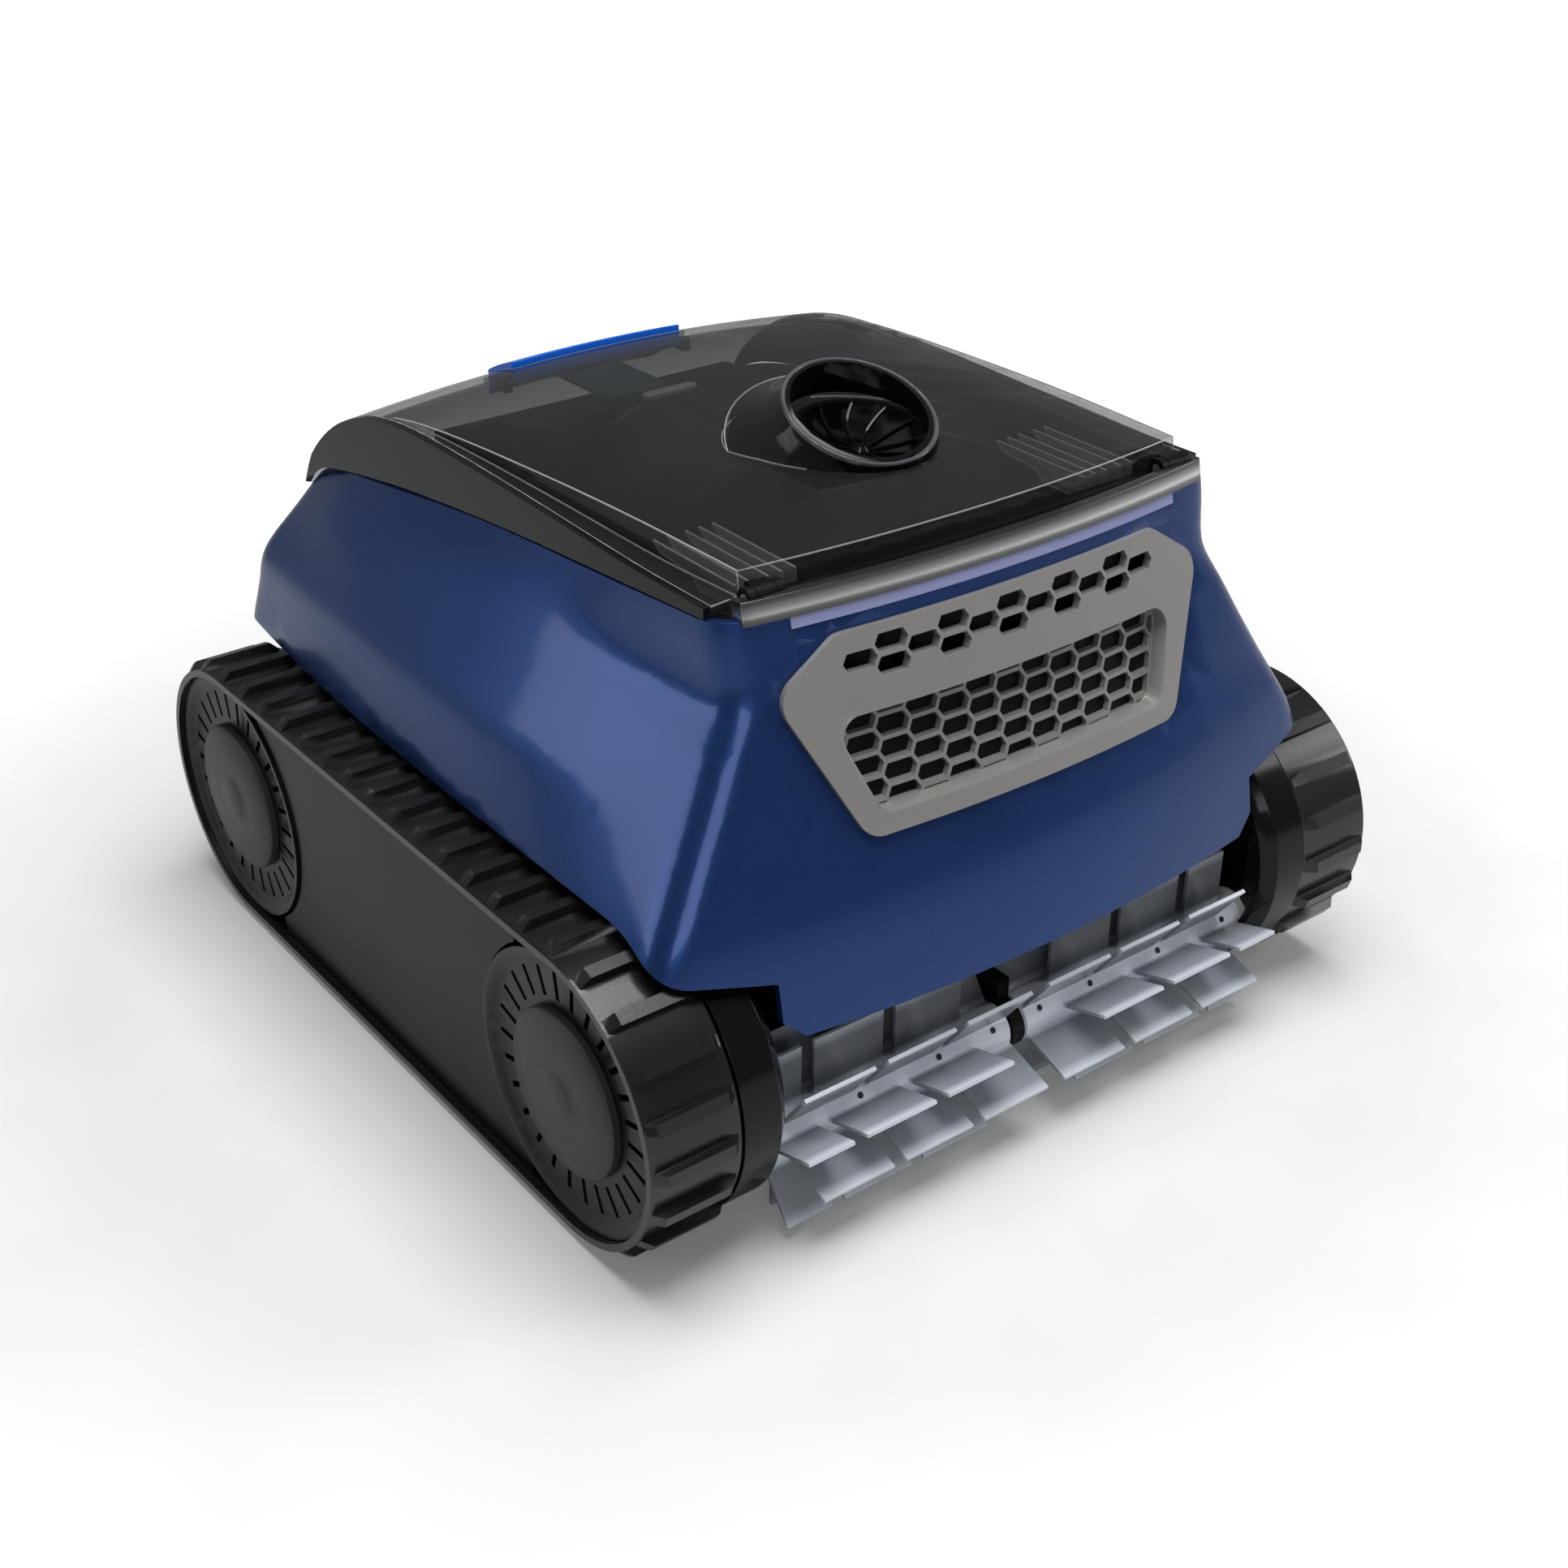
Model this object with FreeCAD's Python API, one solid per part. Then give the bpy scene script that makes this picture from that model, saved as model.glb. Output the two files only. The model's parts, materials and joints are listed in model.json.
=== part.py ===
import FreeCAD, Part

import math
import os

os.makedirs("parts", exist_ok=True)
Vector = FreeCAD.Vector

# Tracked pool cleaning robot.  Millimetres, +Z up, front (brush side) towards -Y.
# The machine's own left side is +X.  Most pieces are drawn with y = 0 midway between
# the wheel axles; "save" moves them so that y = 0 is the middle of the whole length.

# ---------------------------------------------------------------- driving dimensions
# Running gear
BELT_FACE = 185.0            # outer face of each belt, from the middle plane
BELT_WIDTH = 38.4
BELT_OUTER_R = 59.7          # belt surface round the wheels, under the treads
BELT_THICK = 3.0
TREAD_HEIGHT = 4.0
TREAD_WIDTH = 5.2
TREAD_COUNT = 48
TREAD_SINK = 1.0             # root of a tread inside the belt
TREAD_END = 1.2              # tread ends stop this far inside the belt edges
GUIDE_WIDTH = 5.0            # rib inside the belt that keeps it on the wheels
GUIDE_DEPTH = 4.0
WHEELBASE = 274.0
WHEEL_INSET = 2.6            # wheel rim lies this far inside the belt's outer face
WHEEL_RIM = 7.0              # rim thickness
WHEEL_WEB = 4.0
WHEEL_HUB_R = 18.0
WHEEL_SLOTS = 26
SLOT_WIDTH = 2.4
CAP_R = 33.6
CAP_PROUD = 0.9              # hub cap crown beyond the belt's outer face
CAP_BOSS_R = 8.0
AXLE_R = 6.0
AXLE_HEAD_R = 9.0
AXLE_HEAD = 3.0

# Gears
GEAR_MODULE = 1.25
WHEEL_TEETH = 56
PINION_TEETH = 16
GEAR_WIDTH = 8.0
PRESSURE_ANGLE = 25.0
BACKLASH = 0.2
DRIVE_ANGLE = 15.0           # motor pinion, seen from the wheel axle, above +Y
BRUSH_ANGLE = 219.6          # brush axle, seen from the wheel axle
PINION_SHAFT_R = 3.0
CASE_R = 60.5
CASE_WALL = 2.0
CASE_CHAMFER = 5.0
CASE_RECESS = 6.5            # inner face of the case behind its rim

# Brush
TUBE_R = 9.0
TUBE_WALL = 2.0
SPIGOT_R = 5.0
SPIGOT_LENGTH = 2.6
SLEEVE_WALL = 1.2
BLADE_R = 34.5
BLADE_THICK = 1.6
BLADE_ROWS = 10
BLADE_LENGTH = 33.0
BLADE_PITCH = 39.0
BLADES_PER_ROW = 3
BLADE_PHASE = 16.7           # nearest row above straight ahead, at rest
SUPPORT_THICK = 6.0
SUPPORT_R = 10.5
BUSH_WALL = 3.0

# Lower hull
HULL_FACE = 124.5            # outer face of the hull's side walls
HULL_WALL = 3.0
HULL_BOTTOM = 22.0
HULL_FRONT = -132.0
HULL_REAR = 178.0
SLOT_HALF = 70.0             # suction slot in the floor
SLOT_FRONT = 20.0
SLOT_REAR = 62.0

# Upper shell
SHELL_WALL = 3.2
OVERHANG_GAP = 3.0           # shell above the treads
APRON_BOTTOM = 88.0          # lower edge of the front between the gear cases
APRON_HALF = 112.0
PLAN_BULGE = 0.00073         # front and rear curve in plan: bulge = this * x * x
# (height, front on the middle plane, rear on the middle plane)
PLAN_LEVELS = (
    (50.0, -200.8, 197.5),
    (88.0, -198.4, 198.5),
    (125.0, -191.6, 197.0),
    (153.0, -182.0, 191.0),
    (180.0, -173.5, 182.0),
    (205.0, -166.2, 168.0),
    (234.5, -160.2, 140.0),
    (262.0, -156.5, 118.0),
)
FORM_STEPS = 15              # level sections of the body's loft, evenly spaced
# (y, half-widths at the three SIDE_HEIGHTS, shoulder x, shoulder z, top x, top z)
SIDE_HEIGHTS = (50.0, 125.0, 165.0)
SIDE_STATIONS = (
    (-218.0, 165.0, 164.0, 141.0, 118.0, 205.0, 118.0, 238.0),
    (-140.0, 165.0, 164.0, 141.5, 118.5, 205.0, 118.4, 234.0),
    (-60.0, 163.5, 162.5, 150.0, 128.5, 205.0, 119.0, 228.2),
    (30.0, 162.0, 161.0, 152.5, 134.0, 202.0, 119.0, 220.6),
    (110.0, 158.0, 157.0, 149.0, 134.0, 194.0, 119.0, 209.5),
    (165.0, 153.0, 152.0, 143.0, 131.0, 177.0, 117.5, 191.0),
    (218.0, 146.0, 145.0, 134.0, 121.0, 163.0, 108.0, 176.0),
)
# Line where the painted shell ends and the lid begins, in side view
TOP_LINE = (
    (-230.0, 240.0),
    (-150.0, 234.5),
    (-84.0, 229.8),
    (-10.0, 224.4),
    (70.0, 215.5),
    (128.0, 206.4),
    (150.0, 200.5),
    (168.0, 188.5),
    (180.0, 172.0),
    (190.0, 163.0),
    (230.0, 160.0),
)
FLANK_RISE = 60.0            # the side surfaces run on above the top line
FORM_SIDE = 200.0            # half width of the blanks the forms are cut from
CORNER_REACH = 13.0          # upright corners are rounded this far from the edge
GUTTER_DEPTH = 9.0
OPENING_HALF = 114.0         # opening in the shell under the lid
OPENING_FRONT = -141.0
OPENING_REAR = 166.0
PANEL_HALF = 100.0           # rear panel
PANEL_BOTTOM = 64.0
PANEL_TOP = 158.0

# Front grille, as points (x, z) of its right half from the top
GRILLE_OUTLINE = ((77.0, 223.5), (103.0, 206.0), (76.5, 151.5))
GRILLE_PROUD = 2.0
GRILLE_CORNER = 10.0
FIELD_OUTLINE = ((83.0, 194.0), (69.0, 158.5))
FIELD_DEPTH = 5.0
FIELD_WALL = 2.4
FIELD_THICK = 2.5
GRILLE_SEAT = 1.5            # depth of the grille's pocket in the shell
BAFFLE_OUTLINE = ((92.0, 221.0), (72.0, 154.0))
BAFFLE_THICK = 2.0
HEX_POINT = 8.0              # hexagon cell: half width at its points
HEX_FLAT = 5.6               # half width of its flats
HEX_RISE = 4.1               # half height
HEX_WALL = 1.5
BAND_HEIGHT = 212.4          # middle row of the upper band of hexagons
BAND_ROOM = 9.0              # half height of the shell's opening behind the band

# Lid
LID_HALF = 118.6
LID_WALL = 2.5
LID_FRONT = -141.6
LID_BOTTOM_REAR = 163.5
LID_GAP = 0.5
RIM_INNER = 115.4            # clear window inside the black side rims
# (y, height of the side rim, crown of the middle above it)
LID_STATIONS = (
    (-175.0, 237.4, 1.0),
    (-108.0, 238.6, 1.2),
    (-60.0, 240.2, 1.8),
    (-10.0, 242.0, 3.2),
    (45.0, 243.0, 5.0),
    (85.0, 240.8, 6.6),
    (112.0, 234.4, 7.2),
    (138.0, 221.5, 7.0),
    (160.0, 203.0, 6.0),
    (178.0, 180.0, 5.0),
    (190.0, 160.0, 4.0),
)
# (y, half width, height of the edge, crown)
PLATEAU_STATIONS = (
    (-175.0, 103.2, 249.2, 0.4),
    (-110.0, 105.6, 249.4, 1.0),
    (-40.0, 108.4, 249.4, 2.2),
    (30.0, 111.2, 247.2, 4.2),
    (80.0, 113.2, 242.4, 6.2),
    (104.0, 114.0, 236.6, 7.0),
)
PLATEAU_INSET = 10.0         # plateau front behind the shell's front
HINGE_Y = -147.0
HINGE_Z = 240.0
HINGE_PIN_R = 2.0
HINGE_EYE_R = 4.2
HINGE_ARM = (94.0, 102.0)
HINGE_EAR = 3.2
HINGE_SIDE_GAP = 0.3
DECK_TOP = 235.6             # trough in front of the lid
DECK_LOW = 230.0
STRIP_HALF = 110.0
STRIP_LOW = 233.0
STRIP_HIGH = 241.5
LOWER_STRIP_HALF = 92.0
LOWER_STRIP_LOW = 228.6
LOWER_STRIP_HIGH = 232.6

# Lid handle
HANDLE_HALF = 44.0
HANDLE_FRONT = 106.0
HANDLE_REAR = 128.0
HANDLE_PROUD = 2.6
HANDLE_GAP = 0.8
HANDLE_SWING = 2.8           # room before and behind the handle for its swing
HANDLE_PIN_R = 1.0
HANDLE_AXIS_BACK = 3.0       # pin behind the handle's front
HANDLE_AXIS_RISE = 1.2       # pin above the height of the side rims

# Outlet and pump
MOUTH = Vector(0, -78.0, 265.0)
MOUTH_TILT = 23.8
MOUTH_R = 29.2
MOUTH_RING = 1.6
GUARD = Vector(0, -79.7, 256.3)
GUARD_TILT = 8.8
GUARD_VANES = 12
DUCT_WALL = 2.4
DUCT_TOP = -2.0              # heights along the pump axis, from the guard
DUCT_BOTTOM = -44.0
PROP_R = 24.4
PROP_HUB_R = 7.0
PROP_LOW = -36.0
PROP_HIGH = -17.0
PROP_BLADES = 4
PUMP_SHAFT_R = 3.0
PUMP_R = 22.0
PUMP_TOP = -66.0
PUMP_BOTTOM = -136.0
PUMP_CASE_WALL = 3.0
COVER_THICK = 4.0
TRACTION_R = 17.0
TRACTION_LENGTH = 70.0
BLOCK_WALL = 3.0
BLOCK_HALF = 114.0
DECK_HEIGHT = 222.0            # deck under the lid, round the duct
LID_HOLE_R = 29.0              # opening in the lid's underside round the duct

# Filter canister
FILTER_HALF = 78.0
FILTER_FRONT = -14.0
FILTER_REAR = 118.0
FILTER_BOTTOM = 62.0
FILTER_TOP = 214.0
FILTER_WALL = 3.0
FILTER_LID_THICK = 4.0
MESH_THICK = 0.8
FLAP_THICK = 2.0
FLAP_PIN_R = 1.5
FLAP_BARREL_R = 2.7
FLAP_HALF = 60.0

# Cable gland
GLAND_Z = 142.0
GLAND_R = 9.0
GLAND_BORE_R = 4.0
GLAND_REAR = 193.0

# Clearances
RUNNING = 0.05               # radial, shafts in bores
FREE = 0.3                   # between curved faces that move past each other
WHEEL_GAP = 1.0              # wheels to fixed covers

# ---------------------------------------------------------------- derived dimensions
AXLE_Z = BELT_OUTER_R + TREAD_HEIGHT
AXLE_Y = WHEELBASE / 2
BELT_INNER_R = BELT_OUTER_R - BELT_THICK
BELT_INNER_FACE = BELT_FACE - BELT_WIDTH
BELT_MIDDLE = BELT_FACE - BELT_WIDTH / 2
WHEEL_R = BELT_INNER_R - FREE
WHEEL_OUT = BELT_FACE - WHEEL_INSET
WHEEL_IN = BELT_INNER_FACE + 2.0
GEAR_DISTANCE = GEAR_MODULE * (WHEEL_TEETH + PINION_TEETH) / 2
GEAR_IN = HULL_FACE + CASE_RECESS + CASE_WALL + 2.5
GEAR_OUT = GEAR_IN + GEAR_WIDTH
CASE_OUT = BELT_INNER_FACE - WHEEL_GAP
CASE_FACE = HULL_FACE + CASE_RECESS
CASE_FACE_OUT = CASE_FACE + CASE_WALL
FRONT_AXLE = Vector(0, -AXLE_Y, AXLE_Z)
REAR_AXLE = Vector(0, AXLE_Y, AXLE_Z)
SHELL_BOTTOM = AXLE_Z + BELT_OUTER_R + TREAD_HEIGHT + OVERHANG_GAP
TRACK_CLEAR_R = BELT_OUTER_R + TREAD_HEIGHT + OVERHANG_GAP
DUCT_INNER_R = PROP_R + 1.0
DUCT_OUTER_R = DUCT_INNER_R + DUCT_WALL


def around_front_axle(angle):
    """Point at the gears' centre distance from the front axle, in the YZ plane."""
    turn = math.radians(angle)
    reach = Vector(0, math.cos(turn), math.sin(turn)) * GEAR_DISTANCE
    return FRONT_AXLE + reach


BRUSH_AXLE = around_front_axle(BRUSH_ANGLE)
MOTOR_AXLE = around_front_axle(DRIVE_ANGLE)
PHASE_TURN = math.radians(BLADE_PHASE)
BLADE_REACH = BLADE_R * math.cos(PHASE_TURN) + BLADE_THICK / 2 * math.sin(PHASE_TURN)
FRONT_REACH = BLADE_REACH - BRUSH_AXLE.y
REAR_REACH = max(AXLE_Y + BELT_OUTER_R + TREAD_HEIGHT, max(level[2] for level in PLAN_LEVELS))
SHIFT = Vector(0, (FRONT_REACH - REAR_REACH) / 2, 0)
BLOCK_BOTTOM = MOTOR_AXLE.z - TRACTION_R - FREE - BLOCK_WALL
COVER_LOW = PUMP_TOP
COVER_HIGH = PUMP_TOP + COVER_THICK


# ---------------------------------------------------------------- helpers
def save(name, shape):
    """Write one node, moved into the frame whose origin is under the middle."""
    placed = shape.copy()
    placed.translate(SHIFT)
    placed.exportStep("parts/" + name + ".step")


def mirrored(shape):
    return shape.mirror(Vector(0, 0, 0), Vector(1, 0, 0))


def both(shape):
    """The shape and its mirror image, as one group."""
    return Part.makeCompound([shape, mirrored(shape)])


def save_pair(name, shape):
    """Write the +X piece as the left one and its mirror image as the right one."""
    save(name + "_left", shape)
    save(name + "_right", mirrored(shape))


def block(x0, x1, y0, y1, z0, z1):
    return Part.makeBox(x1 - x0, y1 - y0, z1 - z0, Vector(x0, y0, z0))


def disc(centre, radius, x0, x1):
    """Cylinder along X round a point of the YZ plane."""
    return Part.makeCylinder(radius, x1 - x0, Vector(x0, centre.y, centre.z), Vector(1, 0, 0))


def ring(centre, outer, inner, x0, x1):
    return disc(centre, outer, x0, x1).cut(disc(centre, inner, x0 - 1, x1 + 1))


def turned(points, centre):
    """Solid of revolution about the X line through centre; points are (x, radius)."""
    corners = [Vector(x, centre.y + r, centre.z) for x, r in points]
    face = Part.Face(Part.makePolygon(corners + corners[:1]))
    return face.revolve(centre, Vector(1, 0, 0), 360)


def spun(points, centre, tilt):
    """Solid of revolution about a tilted upright axis; points are (radius, height)."""
    corners = [Vector(r, 0, w) for r, w in points]
    face = Part.Face(Part.makePolygon(corners + corners[:1]))
    return on_axis(face.revolve(Vector(0, 0, 0), Vector(0, 0, 1), 360), centre, tilt)


def on_axis(shape, centre, tilt):
    """Lean a shape drawn about Z back to front and carry it to its centre."""
    shape.rotate(Vector(0, 0, 0), Vector(1, 0, 0), tilt)
    shape.translate(centre)
    return shape


def stadium(radius, x0, x1):
    """Solid of the outline round both wheels, between two planes across X."""
    low, high = AXLE_Z - radius, AXLE_Z + radius
    top = Part.makeLine(Vector(x0, AXLE_Y, high), Vector(x0, -AXLE_Y, high))
    bottom = Part.makeLine(Vector(x0, -AXLE_Y, low), Vector(x0, AXLE_Y, low))
    front = Part.Arc(
        Vector(x0, -AXLE_Y, high),
        Vector(x0, -AXLE_Y - radius, AXLE_Z),
        Vector(x0, -AXLE_Y, low),
    ).toShape()
    rear = Part.Arc(
        Vector(x0, AXLE_Y, low),
        Vector(x0, AXLE_Y + radius, AXLE_Z),
        Vector(x0, AXLE_Y, high),
    ).toShape()
    return Part.Face(Part.Wire([top, front, bottom, rear])).extrude(Vector(x1 - x0, 0, 0))


def rounded_wire(points, radius):
    """Closed wire through the points, with every corner rounded."""
    edges = []
    previous_end = None
    first_start = None
    for index, corner in enumerate(points):
        back = (points[index - 1] - corner).normalize()
        ahead = (points[(index + 1) % len(points)] - corner).normalize()
        half = back.getAngle(ahead) / 2
        reach = radius / math.tan(half)
        middle = (back + ahead).normalize() * (radius / math.sin(half) - radius)
        start = corner + back * reach
        end = corner + ahead * reach
        if previous_end is None:
            first_start = start
        else:
            edges.append(Part.makeLine(previous_end, start))
        edges.append(Part.Arc(start, corner + middle, end).toShape())
        previous_end = end
    edges.append(Part.makeLine(previous_end, first_start))
    return Part.Wire(edges)


def through(points):
    """Smooth edge through the points."""
    curve = Part.BSplineCurve()
    curve.interpolate([Vector(p) for p in points])
    return curve.toShape()


def front_prism(outline, radius, grow=0.0):
    """Prism along Y of a symmetric outline given by its right half, (x, z) from the top."""
    centre_z = sum(z for x, z in outline) / len(outline)
    half = []
    for x, z in outline:
        half.append((x + grow, z + math.copysign(grow, z - centre_z)))
    corners = [Vector(x, -240, z) for x, z in half]
    corners += [Vector(-x, -240, z) for x, z in reversed(half)]
    return Part.Face(rounded_wire(corners, radius)).extrude(Vector(0, 120, 0))


# ---------------------------------------------------------------- upper forms
def half_width(station, z):
    """Half width of the body at a height, on the straight lines of one station."""
    y, x_low, x_waist, x_middle, x_shoulder, z_shoulder, x_top, z_top = station
    low, waist, middle = SIDE_HEIGHTS
    lean = (x_top - x_shoulder) / (z_top - z_shoulder)
    line = (
        (low, x_low),
        (waist, x_waist),
        (middle, x_middle),
        (z_shoulder, x_shoulder),
        (z_top, x_top),
        (z_top + FLANK_RISE, x_top + lean * FLANK_RISE),
    )
    for (z0, x0), (z1, x1) in zip(line, line[1:]):
        if z <= z1:
            return x0 + (x1 - x0) * (z - z0) / (z1 - z0)
    return line[-1][1]


def smooth_level(z):
    """Front and rear on the middle plane at a height, on smooth curves through PLAN_LEVELS."""
    index = 0
    while index < len(PLAN_LEVELS) - 2 and z > PLAN_LEVELS[index + 1][0]:
        index += 1
    near, far = PLAN_LEVELS[index], PLAN_LEVELS[index + 1]
    before = PLAN_LEVELS[max(index - 1, 0)]
    after = PLAN_LEVELS[min(index + 2, len(PLAN_LEVELS) - 1)]
    span = far[0] - near[0]
    t = (z - near[0]) / span
    ends = []
    for side in (1, 2):
        start_slope = (far[side] - before[side]) / (far[0] - before[0]) * span
        end_slope = (after[side] - near[side]) / (after[0] - near[0]) * span
        rise = far[side] - near[side]
        value = near[side] + t * start_slope
        value += t * t * (3 * rise - 2 * start_slope - end_slope)
        value += t * t * t * (start_slope + end_slope - 2 * rise)
        ends.append(value)
    return ends


def crossing(curve, end_y):
    """Parameter where a side curve meets the bowed end line y = end_y + bulge."""
    near, far = curve.FirstParameter, curve.LastParameter
    for _ in range(40):
        middle = (near + far) / 2
        point = curve.value(middle)
        if point.y < bowed(point.x, end_y, 0).y:
            near = middle
        else:
            far = middle
    return near


def body_form(inset):
    """Whole upper body as a loft of level sections: bowed ends and flared sides."""
    wires = []
    lowest, highest = PLAN_LEVELS[0][0], PLAN_LEVELS[-1][0]
    for step_index in range(FORM_STEPS + 1):
        z = lowest + (highest - lowest) * step_index / FORM_STEPS
        front, rear = smooth_level(z)
        nose = front + inset
        tail = rear - inset
        line = [Vector(half_width(s, z) - inset, s[0], z) for s in SIDE_STATIONS]
        curve = through(line).Curve
        first = crossing(curve, nose)
        last = crossing(curve, tail)
        front_corner, rear_corner = curve.value(first), curve.value(last)
        step = (last - first) / (rear_corner - front_corner).Length
        side = curve.toShape(first + CORNER_REACH * step, last - CORNER_REACH * step)
        start = curve.value(first + CORNER_REACH * step)
        end = curve.value(last - CORNER_REACH * step)
        nose_end = bowed(front_corner.x - CORNER_REACH, nose, z)
        tail_end = bowed(rear_corner.x - CORNER_REACH, tail, z)
        nose_arc = Part.Arc(bowed(-nose_end.x, nose, z), Vector(0, nose, z), nose_end).toShape()
        tail_arc = Part.Arc(tail_end, Vector(0, tail, z), bowed(-tail_end.x, tail, z)).toShape()
        front_turn = bend(nose_end, front_corner, start)
        rear_turn = bend(end, rear_corner, tail_end)
        flank = [front_turn, side, rear_turn]
        wires.append(Part.Wire([nose_arc] + flank + [tail_arc] + [mirrored(e) for e in flank[::-1]]))
    return Part.makeLoft(wires, True, False)


def bowed(x, middle_y, z):
    """Point of the bowed front or rear line at one level."""
    return Vector(x, middle_y + math.copysign(PLAN_BULGE * x * x, -middle_y), z)


def bend(start, corner, end):
    """Rounded turn from start to end that leaves both towards the corner."""
    curve = Part.BezierCurve()
    curve.setPoles([start, corner, end])
    return curve.toShape()


def plan_form(inset):
    """Body between the curved front and rear, as a loft of level sections."""
    side = FORM_SIDE
    wires = []
    for z, front, rear in PLAN_LEVELS:
        nose = front + inset
        tail = rear - inset
        bow = PLAN_BULGE * side * side
        nose_arc = Part.Arc(
            Vector(-side, nose + bow, z), Vector(0, nose, z), Vector(side, nose + bow, z)
        ).toShape()
        tail_arc = Part.Arc(
            Vector(side, tail - bow, z), Vector(0, tail, z), Vector(-side, tail - bow, z)
        ).toShape()
        right = Part.makeLine(Vector(side, nose + bow, z), Vector(side, tail - bow, z))
        left = Part.makeLine(Vector(-side, tail - bow, z), Vector(-side, nose + bow, z))
        wires.append(Part.Wire([nose_arc, right, tail_arc, left]))
    return Part.makeLoft(wires, True, False)


def above_top_line(drop):
    """Everything above the shell's top line, lowered by drop."""
    line = [Vector(-200, y, z - drop) for y, z in TOP_LINE]
    first = line[0]
    last = line[-1]
    roof = 320.0
    edges = [
        through(line),
        Part.makeLine(last, Vector(-200, last.y, roof)),
        Part.makeLine(Vector(-200, last.y, roof), Vector(-200, first.y, roof)),
        Part.makeLine(Vector(-200, first.y, roof), first),
    ]
    return Part.Face(Part.Wire(edges)).extrude(Vector(400, 0, 0))


def crowned_form(stations, inset, shift):
    """Loft of sections (y, half width, edge height, crown) with a crowned top."""
    floor = 120.0
    wires = []
    for y, half, edge, crown in stations:
        side = half - inset
        top = edge - inset
        place = y - shift
        left_low = Vector(-side, place, floor)
        right_low = Vector(side, place, floor)
        left_top = Vector(-side, place, top)
        right_top = Vector(side, place, top)
        arc = Part.Arc(left_top, Vector(0, place, top + crown), right_top).toShape()
        edges = [
            Part.makeLine(left_low, left_top),
            arc,
            Part.makeLine(right_top, right_low),
            Part.makeLine(right_low, left_low),
        ]
        wires.append(Part.Wire(edges))
    return Part.makeLoft(wires, True, False)


def lid_form(inset):
    stations = [(y, LID_HALF, edge, crown) for y, edge, crown in LID_STATIONS]
    return crowned_form(stations, inset, inset)


def plateau_form(inset):
    raised = crowned_form(PLATEAU_STATIONS, inset, 0)
    return raised.common(plan_form(PLATEAU_INSET + inset))


def cowl_form(inset):
    """Flared collar round the outlet mouth, leaning with it."""
    r = MOUTH_R + MOUTH_RING - inset
    floor = -34.0
    profile = (
        (0, 0),
        (r, 0),
        (r + 1.6, -5.0),
        (r + 4.6, -11.0),
        (r + 9.5, -17.0),
        (r + 16.5, -22.5),
        (r + 16.5, floor),
        (0, floor),
    )
    return spun(profile, MOUTH, MOUTH_TILT)


# ---------------------------------------------------------------- gears
def involute_point(base_r, radius):
    """Polar angle of the involute of a base circle, at a radius."""
    if radius <= base_r:
        return 0.0
    roll = math.sqrt((radius / base_r) ** 2 - 1)
    return roll - math.atan(roll)


def gear(teeth, centre, phase, bore):
    """Spur gear along X; phase is the angle of one tooth's middle, in degrees."""
    pitch_r = GEAR_MODULE * teeth / 2
    base_r = pitch_r * math.cos(math.radians(PRESSURE_ANGLE))
    tip_r = pitch_r + 0.9 * GEAR_MODULE
    root_r = pitch_r - 1.2 * GEAR_MODULE
    half_pitch = (math.pi * GEAR_MODULE / 2 - BACKLASH) / 2 / pitch_r
    at_pitch = involute_point(base_r, pitch_r)
    steps = [root_r + (tip_r - root_r) * k / 4 for k in range(5)]
    flank = [(r, half_pitch + at_pitch - involute_point(base_r, r)) for r in steps]
    corners = []
    for tooth in range(teeth):
        middle = math.radians(phase) + 2 * math.pi * tooth / teeth
        outline = [(r, middle - a) for r, a in flank]
        outline += [(r, middle + a) for r, a in reversed(flank)]
        for r, angle in outline:
            y = centre.y + r * math.cos(angle)
            z = centre.z + r * math.sin(angle)
            corners.append(Vector(GEAR_IN, y, z))
    face = Part.Face(Part.makePolygon(corners + corners[:1]))
    solid = face.extrude(Vector(GEAR_WIDTH, 0, 0))
    return solid.cut(disc(centre, bore, GEAR_IN - 1, GEAR_OUT + 1))


def mating_phase(direction, phase):
    """Tooth angle of a pinion that lies at a direction from the wheel gear."""
    lead = (phase - direction) % (360 / WHEEL_TEETH)
    gap = direction + 180 - lead * WHEEL_TEETH / PINION_TEETH
    return gap + 180 / PINION_TEETH


# ---------------------------------------------------------------- running gear
def track_belt():
    band = stadium(BELT_OUTER_R, BELT_INNER_FACE, BELT_FACE)
    band = band.cut(stadium(BELT_INNER_R, BELT_INNER_FACE - 1, BELT_FACE + 1))
    guide_in = BELT_MIDDLE - GUIDE_WIDTH / 2
    guide_out = BELT_MIDDLE + GUIDE_WIDTH / 2
    guide = stadium(BELT_INNER_R + TREAD_SINK, guide_in, guide_out)
    guide = guide.cut(stadium(BELT_INNER_R - GUIDE_DEPTH, guide_in - 1, guide_out + 1))
    straight = WHEELBASE
    curve = math.pi * BELT_OUTER_R
    pitch = 2 * (straight + curve) / TREAD_COUNT
    treads = [tread_at(index * pitch, straight, curve) for index in range(TREAD_COUNT)]
    return band.multiFuse([guide] + treads).removeSplitter()


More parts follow.
